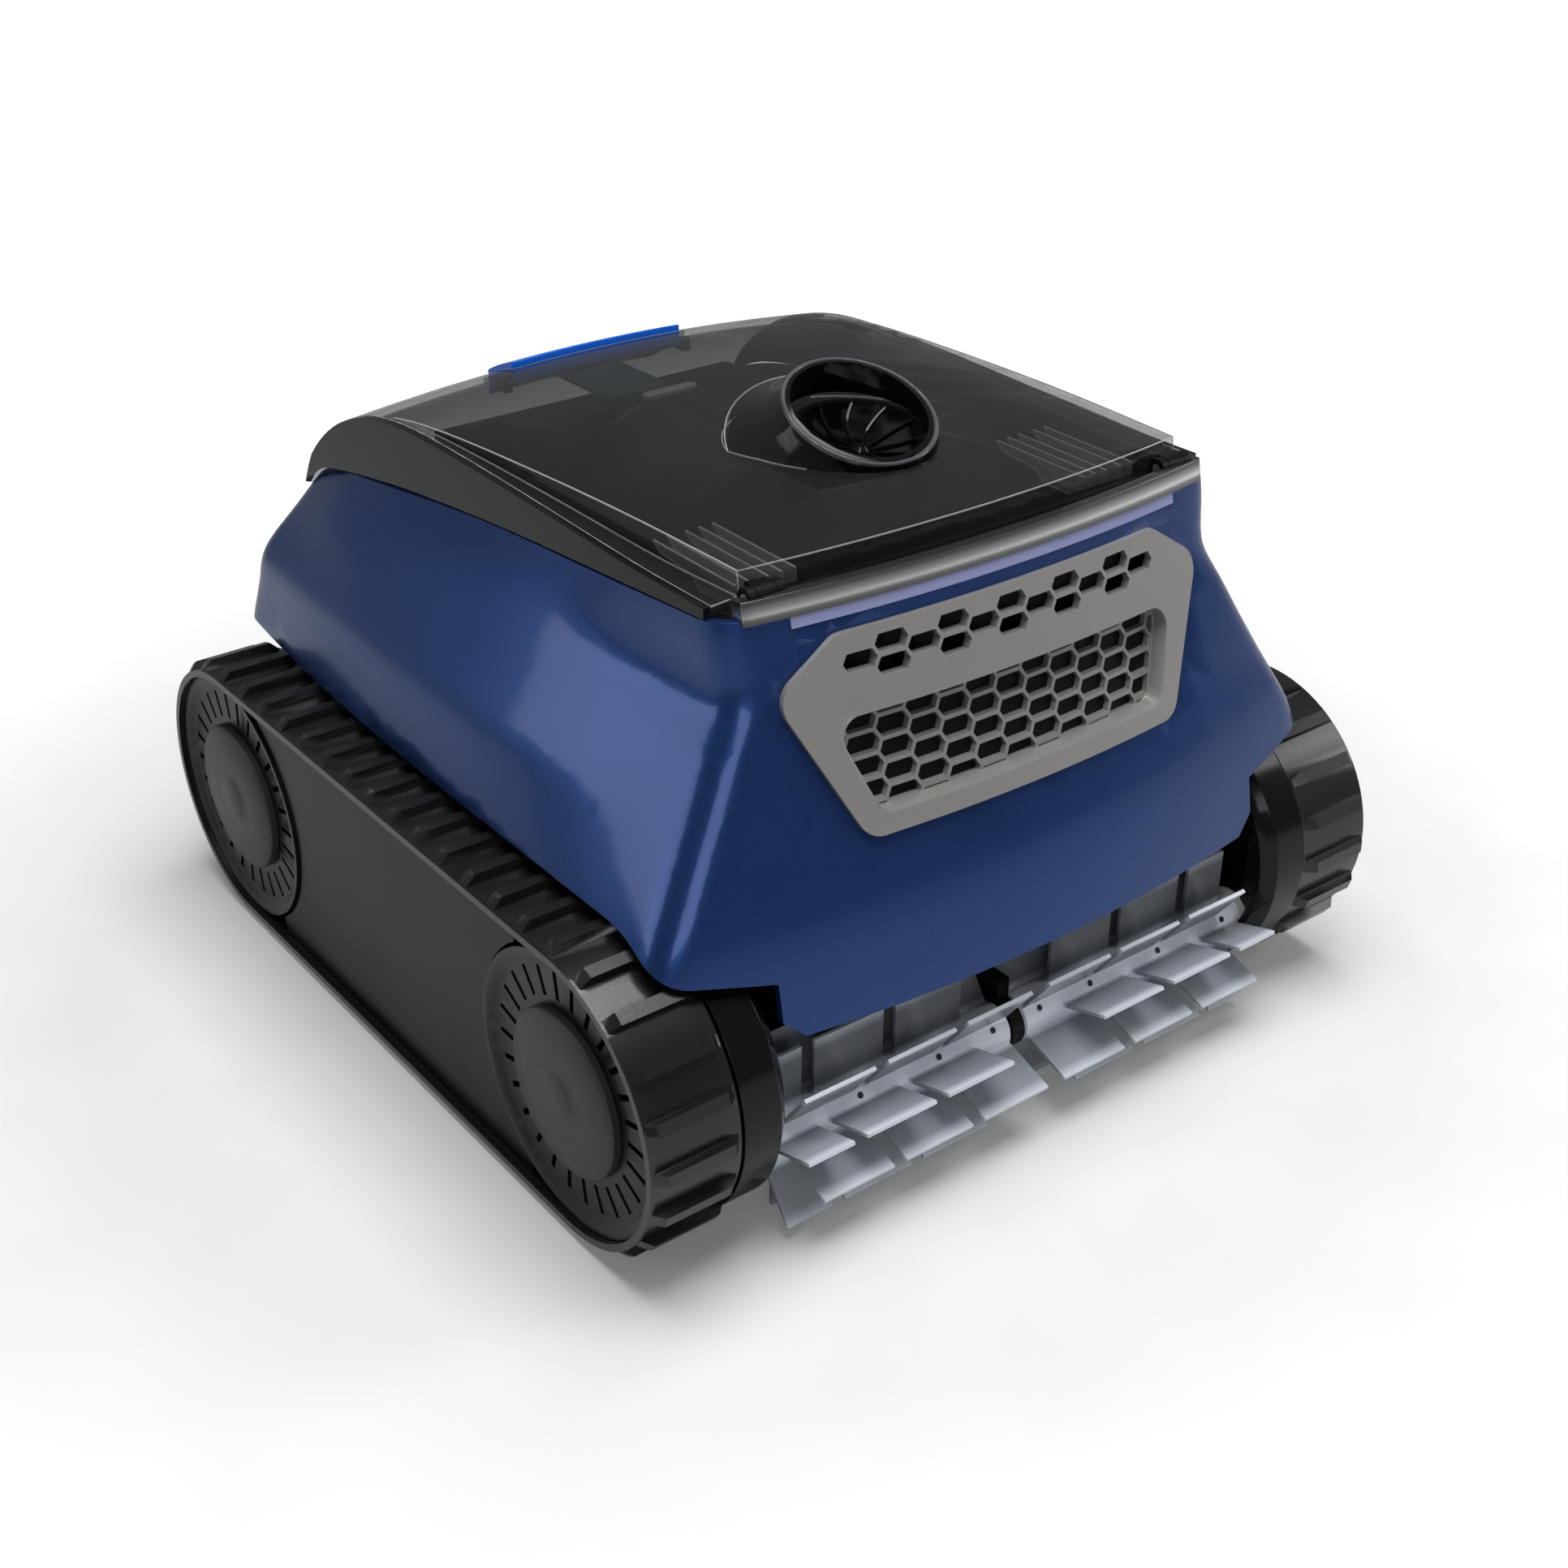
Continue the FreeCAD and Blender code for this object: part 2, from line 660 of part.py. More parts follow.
def tread_at(travel, straight, curve):
    """One tread, a given way along the belt from the middle of its lower run."""
    low = BELT_INNER_FACE + TREAD_END
    high = BELT_FACE - TREAD_END
    base = BELT_OUTER_R - TREAD_SINK
    crest = BELT_OUTER_R + TREAD_HEIGHT
    profile = [
        Vector(low, 0, -base),
        Vector(high, 0, -base),
        Vector(high, 0, -BELT_OUTER_R),
        Vector(high - TREAD_HEIGHT, 0, -crest),
        Vector(low + TREAD_HEIGHT, 0, -crest),
        Vector(low, 0, -BELT_OUTER_R),
    ]
    face = Part.Face(Part.makePolygon(profile + profile[:1]))
    face.translate(Vector(0, -TREAD_WIDTH / 2, 0))
    rib = face.extrude(Vector(0, TREAD_WIDTH, 0))
    if travel <= straight / 2:
        place, turn = travel, 0
    elif travel <= straight / 2 + curve:
        place, turn = AXLE_Y, 180 * (travel - straight / 2) / curve
    elif travel <= 1.5 * straight + curve:
        place, turn = straight + curve - travel, 180
    elif travel <= 1.5 * straight + 2 * curve:
        place, turn = -AXLE_Y, 180 + 180 * (travel - 1.5 * straight - curve) / curve
    else:
        place, turn = travel - 2 * straight - 2 * curve, 0
    rib.rotate(Vector(0, 0, 0), Vector(1, 0, 0), turn)
    rib.translate(Vector(0, place, AXLE_Z))
    return rib


def wheel(centre):
    web_out = WHEEL_OUT - 3.0
    web_in = web_out - WHEEL_WEB
    rim_in = WHEEL_R - WHEEL_RIM
    groove_r = BELT_INNER_R - GUIDE_DEPTH - FREE
    groove_in = BELT_MIDDLE - GUIDE_WIDTH / 2 - WHEEL_GAP
    groove_out = BELT_MIDDLE + GUIDE_WIDTH / 2 + WHEEL_GAP
    bore = AXLE_R + RUNNING
    profile = (
        (WHEEL_IN, bore),
        (WHEEL_IN, WHEEL_HUB_R),
        (web_in, WHEEL_HUB_R),
        (web_in, rim_in),
        (WHEEL_IN, rim_in),
        (WHEEL_IN, WHEEL_R),
        (groove_in, WHEEL_R),
        (groove_in, groove_r),
        (groove_out, groove_r),
        (groove_out, WHEEL_R),
        (WHEEL_OUT, WHEEL_R),
        (WHEEL_OUT, WHEEL_R - 2.0),
        (web_out, rim_in),
        (web_out, bore),
    )
    solid = turned(profile, centre)
    slot_in = CAP_R + 3.5
    slot = block(web_in - 1, web_out + 1, slot_in, rim_in - 0.5, -SLOT_WIDTH / 2, SLOT_WIDTH / 2)
    slots = []
    for index in range(WHEEL_SLOTS):
        cutter = slot.copy()
        cutter.rotate(Vector(0, 0, 0), Vector(1, 0, 0), 360 * index / WHEEL_SLOTS)
        cutter.translate(centre)
        slots.append(cutter)
    return solid.cut(Part.makeCompound(slots))


def hub_cap(centre):
    seat = WHEEL_OUT - 3.0
    crown = BELT_FACE + CAP_PROUD
    inner_r = AXLE_HEAD_R + 2.0
    hollow = seat + AXLE_HEAD + 0.8
    profile = (
        (seat, inner_r),
        (seat, CAP_R),
        (seat + 3.4, CAP_R),
        (seat + 4.6, CAP_R - 1.6),
        (crown - 0.8, CAP_BOSS_R + 9.0),
        (crown - 1.0, CAP_BOSS_R + 2.0),
        (crown - 0.2, CAP_BOSS_R),
        (crown, 0),
        (hollow, 0),
        (hollow, inner_r),
    )
    return turned(profile, centre)


def stub_axle(centre, start):
    head = WHEEL_OUT - 3.0 + 0.4
    pin = disc(centre, AXLE_R, start, head)
    return pin.fuse(disc(centre, AXLE_HEAD_R, head, head + AXLE_HEAD))


def wheel_gear(phase):
    """Gear keyed to the front wheel's hub by a sleeve."""
    sleeve_r = AXLE_R + 6.0
    toothed = gear(WHEEL_TEETH, FRONT_AXLE, phase, AXLE_R + RUNNING)
    sleeve = ring(FRONT_AXLE, sleeve_r, AXLE_R + RUNNING, GEAR_IN, WHEEL_IN)
    return toothed.fuse(sleeve).removeSplitter()


def drive_pinion(phase):
    """Pinion on the traction motor's output shaft."""
    shaft_in = BLOCK_HALF - BLOCK_WALL - 2.0
    toothed = gear(PINION_TEETH, MOTOR_AXLE, phase, PINION_SHAFT_R - 0.5)
    shaft = disc(MOTOR_AXLE, PINION_SHAFT_R, shaft_in, GEAR_OUT + 0.5)
    return toothed.fuse(shaft).removeSplitter()


def gear_case():
    rim = HULL_FACE
    inner_r = CASE_R - CASE_WALL
    lip_r = CASE_R - CASE_CHAMFER
    profile = (
        (rim, lip_r - 3.0),
        (rim, lip_r),
        (rim + CASE_CHAMFER, CASE_R),
        (CASE_OUT, CASE_R),
        (CASE_OUT, inner_r),
        (CASE_FACE_OUT, inner_r),
        (CASE_FACE_OUT, AXLE_R + 4.0),
        (GEAR_IN - 0.5, AXLE_R + 4.0),
        (GEAR_IN - 0.5, AXLE_R),
        (CASE_FACE - 2.0, AXLE_R),
        (CASE_FACE - 2.0, AXLE_R + 4.0),
        (CASE_FACE, AXLE_R + 4.0),
        (CASE_FACE, lip_r - 3.0),
    )
    solid = turned(profile, FRONT_AXLE)
    bush_hole = disc(BRUSH_AXLE, TUBE_R + BUSH_WALL, CASE_FACE - 1, CASE_FACE_OUT + 0.5)
    tube_room = disc(BRUSH_AXLE, TUBE_R + 2 * FREE, HULL_FACE - 1, CASE_FACE)
    shaft_hole = disc(MOTOR_AXLE, PINION_SHAFT_R + RUNNING, CASE_FACE - 1, CASE_FACE_OUT + 1)
    return solid.cut(bush_hole).cut(tube_room).cut(shaft_hole)


def side_cover():
    """Dish that fills the side between the wheels, inside the belt."""
    wall = 2.5
    plate_out = BELT_FACE - 4.0
    plate_in = plate_out - wall
    reach = AXLE_Y - 30.0
    room = WHEEL_R + WHEEL_GAP
    plate_r = BELT_INNER_R - FREE
    wall_r = BELT_INNER_R - GUIDE_DEPTH - FREE - 0.3

    def between_wheels(radius, clear, x0, x1):
        slab = block(x0, x1, -reach, reach, AXLE_Z - radius, AXLE_Z + radius)
        slab = slab.cut(disc(FRONT_AXLE, clear, x0 - 1, x1 + 1))
        return slab.cut(disc(REAR_AXLE, clear, x0 - 1, x1 + 1))

    plate = between_wheels(plate_r, room, plate_in, plate_out)
    dish = between_wheels(wall_r, CASE_R + WHEEL_GAP, HULL_FACE, plate_in)
    hollow = between_wheels(wall_r - wall, CASE_R + WHEEL_GAP + wall, HULL_FACE, plate_in)
    trim = block(HULL_FACE - 1, plate_in, -reach - 1, -reach + wall, 0, 200)
    hollow = hollow.cut(both_ends(trim))
    return plate.fuse(dish.cut(hollow)).removeSplitter()


def both_ends(shape):
    """The shape and its image front to back, as one group."""
    return Part.makeCompound([shape, shape.mirror(Vector(0, 0, 0), Vector(0, 1, 0))])


# ---------------------------------------------------------------- brush
def brush_tube():
    inner_end = SUPPORT_THICK / 2 + 0.5
    outer_end = CASE_FACE_OUT + 0.6
    core = ring(BRUSH_AXLE, TUBE_R, TUBE_R - TUBE_WALL, inner_end + 3.0, outer_end - 3.0)
    inner_plug = disc(BRUSH_AXLE, TUBE_R, inner_end, inner_end + 3.0)
    outer_plug = disc(BRUSH_AXLE, TUBE_R, outer_end - 3.0, outer_end)
    inner_spigot = disc(BRUSH_AXLE, SPIGOT_R, inner_end - SPIGOT_LENGTH, inner_end)
    outer_spigot = disc(BRUSH_AXLE, SPIGOT_R, outer_end, GEAR_OUT + 0.5)
    return core.multiFuse([inner_plug, outer_plug, inner_spigot, outer_spigot]).removeSplitter()


def brush_blades():
    """Sleeve with rows of flat blades, alternate rows shifted by half a pitch."""
    start = SUPPORT_THICK / 2 + 1.5
    end = HULL_FACE - 1.5
    outer = TUBE_R + SLEEVE_WALL
    sleeve = ring(BRUSH_AXLE, outer, TUBE_R, start, end)
    blades = []
    for row in range(BLADE_ROWS):
        offset = start + (BLADE_PITCH / 2 if row % 2 else 0)
        for index in range(BLADES_PER_ROW):
            x0 = offset + index * BLADE_PITCH
            x1 = min(x0 + BLADE_LENGTH, end)
            blade = block(x0, x1, outer - 0.6, BLADE_R, -BLADE_THICK / 2, BLADE_THICK / 2)
            blade.rotate(Vector(0, 0, 0), Vector(1, 0, 0), 360 * row / BLADE_ROWS - BLADE_PHASE)
            blade.translate(BRUSH_AXLE)
            blades.append(blade)
    return sleeve.multiFuse(blades).removeSplitter()


def brush_centre_support():
    half = SUPPORT_THICK / 2
    eye = disc(BRUSH_AXLE, SUPPORT_R, -half, half)
    arm = block(-half, half, BRUSH_AXLE.y, HULL_FRONT, BRUSH_AXLE.z, BRUSH_AXLE.z + 20.0)
    foot = block(-12.0, 12.0, HULL_FRONT - 3.0, HULL_FRONT, BRUSH_AXLE.z - 2, BRUSH_AXLE.z + 26.0)
    solid = eye.multiFuse([arm, foot])
    return solid.cut(disc(BRUSH_AXLE, SPIGOT_R + RUNNING, -half - 1, half + 1)).removeSplitter()


def brush_bush():
    return ring(BRUSH_AXLE, TUBE_R + BUSH_WALL, TUBE_R + RUNNING, CASE_FACE - 1, CASE_FACE_OUT)


# ---------------------------------------------------------------- hull and shell
def chassis_base():
    top = SHELL_BOTTOM
    tub = block(-HULL_FACE, HULL_FACE, HULL_FRONT, HULL_REAR, HULL_BOTTOM, top)
    inside = HULL_FACE - HULL_WALL
    hollow = block(
        -inside, inside, HULL_FRONT + HULL_WALL, HULL_REAR - HULL_WALL, HULL_BOTTOM + HULL_WALL, top
    )
    slot = block(-SLOT_HALF, SLOT_HALF, SLOT_FRONT, SLOT_REAR, HULL_BOTTOM - 1, HULL_BOTTOM + 10)
    boss = disc(REAR_AXLE, AXLE_R + 10.0, HULL_FACE, WHEEL_IN - 1.0)
    foot_front = saddle(MOTOR_AXLE.y - 4, MOTOR_AXLE.y + 4)
    floor = HULL_BOTTOM + HULL_WALL
    posts = [Part.makeCylinder(5.0, 12.0, Vector(x, y, floor - 0.5)) for x, y in screw_places()]
    axle = disc(REAR_AXLE, AXLE_R, inside, WHEEL_IN)
    shaft_hole = disc(MOTOR_AXLE, PINION_SHAFT_R + 2.0, inside - 1, HULL_FACE + 1)
    solid = tub.cut(hollow).cut(slot)
    solid = solid.multiFuse([boss, mirrored(boss), foot_front] + posts)
    return solid.cut(both(axle)).cut(both(shaft_hole)).cut(hull_screws())


def saddle(y0, y1):
    """Rib on the hull's floor under the motor block."""
    return block(-60, 60, y0, y1, HULL_BOTTOM + HULL_WALL - 0.5, BLOCK_BOTTOM)


def under_edge():
    """Space below the shell: round the tracks, the gear cases and the front apron."""
    tracks = stadium(TRACK_CLEAR_R, HULL_FACE - 4.0, 240.0)
    lower = block(HULL_FACE - 4.0, 240.0, -AXLE_Y, 260.0, 0, SHELL_BOTTOM)
    middle = block(-160.0, 160.0, HULL_FRONT - 20.0, 260.0, 0, SHELL_BOTTOM - 30.0)
    apron = [
        Vector(APRON_HALF, -260, APRON_BOTTOM),
        Vector(HULL_FACE + 2.0, -260, APRON_BOTTOM + 13.0),
        Vector(BELT_INNER_FACE, -260, APRON_BOTTOM + 22.0),
        Vector(240.0, -260, APRON_BOTTOM + 32.0),
        Vector(240.0, -260, 0),
        Vector(APRON_HALF, -260, 0),
    ]
    corner = Part.Face(Part.makePolygon(apron + apron[:1])).extrude(Vector(0, 125, 0))
    floor = block(-240, 240, -260, 260, 0, APRON_BOTTOM)
    cutters = [tracks, mirrored(tracks), lower, mirrored(lower), corner, mirrored(corner)]
    return cutters[0].multiFuse(cutters[1:] + [floor, middle])


def body_shell(outer, inner, below):
    solid = outer.cut(below)
    lip = block(-200, 200, -230, 260, 0, SHELL_BOTTOM + SHELL_WALL)
    middle = HULL_FACE - HULL_WALL
    well = block(-middle, middle, -230, HULL_REAR, 0, 200.0)
    cavity = inner.cut(lip.cut(well))
    opening = block(-OPENING_HALF, OPENING_HALF, OPENING_FRONT, OPENING_REAR, 150, 300)
    panel = block(-PANEL_HALF, PANEL_HALF, 130, 260, PANEL_BOTTOM, PANEL_TOP)
    field = front_prism(FIELD_OUTLINE, GRILLE_CORNER, FIELD_WALL + 1.0)
    band = block(-90, 90, -240, -120, BAND_HEIGHT - BAND_ROOM, BAND_HEIGHT + BAND_ROOM)
    solid = solid.cut(cavity).cut(opening.common(inner))
    return solid.cut(panel).cut(field).cut(band).cut(grille_blank()).cut(lower_strip())


def rear_panel(outer, inner):
    panel = block(-PANEL_HALF, PANEL_HALF, 130, 260, PANEL_BOTTOM, PANEL_TOP)
    skin = outer.cut(inner).common(panel)
    place = Vector(0, GLAND_REAR - 40.0, GLAND_Z)
    return skin.cut(Part.makeCylinder(GLAND_R, 60.0, place, Vector(0, 1, 0)))


def grille_blank():
    """Solid the grille's frame is cut from; the shell has a pocket of this shape."""
    outline = front_prism(GRILLE_OUTLINE, GRILLE_CORNER)
    return outline.common(body_form(-GRILLE_PROUD).cut(body_form(GRILLE_SEAT)))


def hexagon(x, z, y0, y1):
    """Hexagonal hole along Y, with its points to the sides."""
    ease = HEX_WALL / 2
    point = HEX_POINT - ease * 1.1
    flat = HEX_FLAT - ease * 0.5
    rise = HEX_RISE - ease
    corners = [
        Vector(x + point, y0, z),
        Vector(x + flat, y0, z + rise),
        Vector(x - flat, y0, z + rise),
        Vector(x - point, y0, z),
        Vector(x - flat, y0, z - rise),
        Vector(x + flat, y0, z - rise),
    ]
    return Part.Face(Part.makePolygon(corners + corners[:1])).extrude(Vector(0, y1 - y0, 0))


def front_grille():
    proud = body_form(-GRILLE_PROUD)
    deep = body_form(FIELD_DEPTH)
    floor = body_form(FIELD_DEPTH + FIELD_THICK)
    field = front_prism(FIELD_OUTLINE, GRILLE_CORNER - FIELD_WALL)
    collar = front_prism(FIELD_OUTLINE, GRILLE_CORNER, FIELD_WALL)
    frame = grille_blank().cut(field)
    wall = collar.cut(field).common(proud.cut(floor))
    mesh = field.common(deep.cut(floor))
    border = front_prism(FIELD_OUTLINE, GRILLE_CORNER - FIELD_WALL, -1.0)
    middle = sum(z for x, z in FIELD_OUTLINE) / 2
    column = HEX_POINT + HEX_FLAT
    holes = []
    for step in range(-6, 7):
        lift = HEX_RISE if step % 2 else 0.0
        for row in range(-3, 4):
            z = middle + row * 2 * HEX_RISE + lift
            hole = hexagon(step * column, z, -200, -150).common(border)
            if hole.Volume > 0:
                holes.append(hole)
    band = []
    for step in range(-5, 6):
        rows = (0,) if step % 2 else (-1, 1)
        for row in rows:
            band.append(hexagon(step * column, BAND_HEIGHT + row * HEX_RISE, -200, -150))
    mesh = mesh.cut(Part.makeCompound(holes))
    frame = frame.cut(Part.makeCompound(band))
    return frame.multiFuse([wall, mesh])


def grille_baffle():
    """Dark plate behind the grille, seated on the back of its collar."""
    front = FIELD_DEPTH + FIELD_THICK
    plate = body_form(front).cut(body_form(front + BAFFLE_THICK))
    return plate.common(front_prism(BAFFLE_OUTLINE, GRILLE_CORNER))


def front_strip(half, z0, z1, proud, depth):
    """Trim bar that follows the curve of the front."""
    skin = body_form(-proud).cut(body_form(depth))
    return skin.common(block(-half, half, -240, -120, z0, z1))


def upper_strip(painted):
    """Bright bar on the shell's front edge, before the lid."""
    bar = front_strip(STRIP_HALF, STRIP_LOW, STRIP_HIGH, 1.4, 3.0).cut(painted)
    low, high = HINGE_ARM
    side = HINGE_SIDE_GAP + HINGE_EAR + FREE
    eyes = disc(Vector(0, HINGE_Y, HINGE_Z), HINGE_EYE_R + FREE, low - side, high + side)
    return bar.cut(both(eyes))


def hinge_eyes():
    """Room in the lid for the ears beside each hinge arm."""
    axis = Vector(0, HINGE_Y, HINGE_Z)
    low, high = HINGE_ARM
    reach = HINGE_SIDE_GAP + HINGE_EAR + FREE
    room = HINGE_EYE_R + FREE
    notches = []
    for x0, x1 in ((low - reach, low), (high, high + reach)):
        notches.append(disc(axis, room, x0, x1))
        notches.append(block(x0, x1, HINGE_Y - room, HINGE_Y + room, DECK_LOW, HINGE_Z))
    return notches[0].multiFuse(notches[1:])


def lower_strip():
    """Pale bar let into the shell below the bright one."""
    return front_strip(LOWER_STRIP_HALF, LOWER_STRIP_LOW, LOWER_STRIP_HIGH, 0.6, 1.2)


def front_rim(inner, strip):
    """Trough in front of the lid, with the ears that carry its hinges."""
    space = block(-LID_HALF, LID_HALF, -240, LID_FRONT - LID_GAP, DECK_LOW, DECK_TOP)
    tray = inner.common(lid_form(0.0)).common(space)
    low, high = HINGE_ARM
    near = low - HINGE_SIDE_GAP
    far = high + HINGE_SIDE_GAP
    axis = Vector(0, HINGE_Y, HINGE_Z)
    ears = []
    for x0, x1 in ((near - HINGE_EAR, near), (far, far + HINGE_EAR)):
        eye = disc(axis, HINGE_EYE_R, x0, x1)
        foot = block(x0, x1, HINGE_Y - HINGE_EYE_R, HINGE_Y + HINGE_EYE_R, DECK_TOP - 1, HINGE_Z)
        ear = eye.fuse(foot)
        ears += [ear, mirrored(ear)]
    return tray.multiFuse(ears).cut(strip).cut(hinge_pins())


def hinge_pins():
    """One pin on each side, held in the front rim's ears."""
    low, high = HINGE_ARM
    near = low - HINGE_SIDE_GAP - HINGE_EAR
    far = high + HINGE_SIDE_GAP + HINGE_EAR
    return both(disc(Vector(0, HINGE_Y, HINGE_Z), HINGE_PIN_R, near, far))


def lid_hinge_arm(window_form):
    low, high = HINGE_ARM
    axis = Vector(0, HINGE_Y, HINGE_Z)
    eye = disc(axis, HINGE_EYE_R, low, high)
    arm = block(low, high, HINGE_Y, LID_FRONT + 6.0, HINGE_Z - 1.0, HINGE_Z + HINGE_EYE_R)
    bore = disc(axis, HINGE_PIN_R + RUNNING, low - 1, high + 1)
    return eye.fuse(arm).cut(bore).cut(window_form)


def lid_gutter(inner):
    """Black seat under the lid's edge, inside the shell's opening."""
    band = above_top_line(GUTTER_DEPTH).cut(above_top_line(0.0))
    outer = block(-OPENING_HALF, OPENING_HALF, OPENING_FRONT, OPENING_REAR, 140, 260)
    hole = block(-103, 103, OPENING_FRONT + 8, OPENING_REAR - 22, 130, 270)
    return band.common(outer.cut(hole)).common(inner)


# ---------------------------------------------------------------- lid
def lid_shells():
    """Clear window and black side rims of the lid, from the same forms."""
    outer = lid_form(0.0).common(plan_form(0.0))
    inner = lid_form(LID_WALL)
    raised = plateau_form(0.0)
    raised_inner = plateau_form(LID_WALL)
    solid = outer.multiFuse([raised, cowl_form(0.0)])
    solid = solid.cut(inner).cut(raised_inner).cut(cowl_form(2.0))
    mouth = spun(((0, -40), (MOUTH_R, -40), (MOUTH_R, 20), (0, 20)), MOUTH, MOUTH_TILT)
    duct_room = spun(((0, -60), (LID_HOLE_R, -60), (LID_HOLE_R, 1.5), (0, 1.5)), GUARD, GUARD_TILT)
    solid = solid.cut(mouth).cut(duct_room)
    keep = above_top_line(-LID_GAP)
    keep = keep.common(block(-LID_HALF, LID_HALF, LID_FRONT, 260, LID_BOTTOM_REAR, 300))
    plateau_front = block(-108, 108, -200, LID_FRONT, DECK_TOP + 2.0, 300)
    keep = keep.fuse(plateau_front.common(raised))
    solid = solid.common(keep)
    return solid


def handle_box(gap, swing):
    """Upright blank of the handle, or of its slot in the lid."""
    half = HANDLE_HALF + gap
    return block(-half, half, HANDLE_FRONT - swing, HANDLE_REAR + swing, 150, 300)


def lid_parts():
    """Clear window and the black side rims, split along the rims' inner edge."""
    solid = lid_shells()
    solid = solid.cut(handle_box(HANDLE_GAP, HANDLE_SWING)).cut(both(hinge_eyes()))
    tall = block(-400, 400, -300, 300, 0, 400)
    side = block(RIM_INNER, LID_HALF + 5, -300, 300, 0, 400)
    sides = both(side)
    return solid.common(tall.cut(sides)), solid.common(sides)


def outlet_ring():
    """Black bowl inside the mouth, down to just above the guard."""
    r = MOUTH_R
    outer = spun(((0, -60), (r, -60), (r, -0.4), (r - 1.2, 0), (0, 0)), MOUTH, MOUTH_TILT)
    inner = spun(((0, -60), (r - 2.0, -60), (r - 2.0, 2), (0, 2)), MOUTH, MOUTH_TILT)
    above_guard = spun(((0, 0.6), (60, 0.6), (60, 60), (0, 60)), GUARD, GUARD_TILT)
    return outer.cut(inner).common(above_guard)


def handle_axis():
    y = HANDLE_FRONT + HANDLE_AXIS_BACK
    return Vector(0, y, interpolated(LID_STATIONS, y) + HANDLE_AXIS_RISE)


def interpolated(stations, y):
    for first, second in zip(stations, stations[1:]):
        if y <= second[0]:
            share = (y - first[0]) / (second[0] - first[0])
            return first[1] + share * (second[1] - first[1])
    return stations[-1][1]


def latch_handle():
    """Curved thumb bar that stands a little above the lid, on a cross pin."""
    outer = lid_form(0.0)
    outer.translate(Vector(0, 0, HANDLE_PROUD))
    inner = lid_form(LID_WALL + 3.0)
    bar = outer.cut(inner).common(handle_box(0.0, 0.0))
    reach = HANDLE_HALF + 4.0
    return bar.fuse(disc(handle_axis(), HANDLE_PIN_R, -reach, reach))


def latch_bracket():
    """Ears under the lid that hold the handle's pin."""
    axis = handle_axis()
    near = HANDLE_HALF + HANDLE_GAP + 0.2
    ear = block(near, near + 4.0, axis.y - 4.0, axis.y + 4.0, axis.z - 4.0, axis.z + 16.0)
    ear = ear.common(lid_form(LID_WALL))
    return both(ear.cut(disc(axis, HANDLE_PIN_R + RUNNING, near - 1, near + 5)))


# ---------------------------------------------------------------- pump and drive
def motor_block():
    """Sealed housing: a cross tube for the drive motors and a leaning pump well."""
    room = TRACTION_R + FREE
    wall = BLOCK_WALL
    lower = block(
        -BLOCK_HALF,
        BLOCK_HALF,
        MOTOR_AXLE.y - room - wall,
        MOTOR_AXLE.y + room + wall,
        BLOCK_BOTTOM,
        MOTOR_AXLE.z + room + wall,
    )
    lower_room = block(
        -BLOCK_HALF + wall,
        BLOCK_HALF - wall,
        MOTOR_AXLE.y - room,
        MOTOR_AXLE.y + room,
        BLOCK_BOTTOM + wall,
        MOTOR_AXLE.z + room,
    )
    outer_r = PUMP_R + FREE + PUMP_CASE_WALL
    foot = PUMP_BOTTOM - wall
    well_line = ((0, foot), (outer_r, foot), (outer_r, COVER_LOW), (0, COVER_LOW))
    well = spun(well_line, GUARD, GUARD_TILT)
    bore_r = PUMP_R + FREE
    end = COVER_LOW + 1
    bore = spun(((0, PUMP_BOTTOM), (bore_r, PUMP_BOTTOM), (bore_r, end), (0, end)), GUARD, GUARD_TILT)
    web = block(-20, 20, MOTOR_AXLE.y, GUARD.y + 30.0, BLOCK_BOTTOM, MOTOR_AXLE.z + room + wall + 20.0)
    solid = lower.multiFuse([well, web]).cut(lower_room).cut(bore)
    holes = both(disc(MOTOR_AXLE, PINION_SHAFT_R + RUNNING, BLOCK_HALF - wall - 1, BLOCK_HALF + 1))
    return solid.cut(holes)


def motor_block_cover():
    """Lid of the pump well, with the duct's three legs standing on it."""
    outer_r = PUMP_R + FREE + PUMP_CASE_WALL
    bore_r = PUMP_SHAFT_R + RUNNING
    profile = ((bore_r, COVER_LOW), (outer_r, COVER_LOW), (outer_r, COVER_HIGH), (bore_r, COVER_HIGH))
    return spun(profile, GUARD, GUARD_TILT)


def pump_motor():
    shoulder = PUMP_TOP - 2
    seat = PUMP_TOP - 12
    collar_r = PUMP_SHAFT_R + 3
    bore_r = PUMP_SHAFT_R + RUNNING
    body = ((0, PUMP_BOTTOM), (PUMP_R, PUMP_BOTTOM), (PUMP_R, shoulder), (collar_r, shoulder))
    collar = ((collar_r, PUMP_TOP), (bore_r, PUMP_TOP), (bore_r, seat), (0, seat))
    return spun(body + collar, GUARD, GUARD_TILT)


def traction_motor():
    end = BLOCK_HALF - BLOCK_WALL - 3.0
    case = disc(MOTOR_AXLE, TRACTION_R, end - TRACTION_LENGTH, end)
    return case.cut(disc(MOTOR_AXLE, PINION_SHAFT_R + RUNNING, end - 12, end + 1))


def control_board():
    y0 = MOTOR_AXLE.y - 14.0
    board = block(-38.0, 38.0, y0, y0 + 1.6, BLOCK_BOTTOM + BLOCK_WALL, MOTOR_AXLE.z + 14.0)
    low = MOTOR_AXLE.z - 6
    chips = [block(x, x + 10.0, y0 + 1.6, y0 + 4.0, low, low + 10.0) for x in (-28, -5, 18)]
    return board.multiFuse(chips)


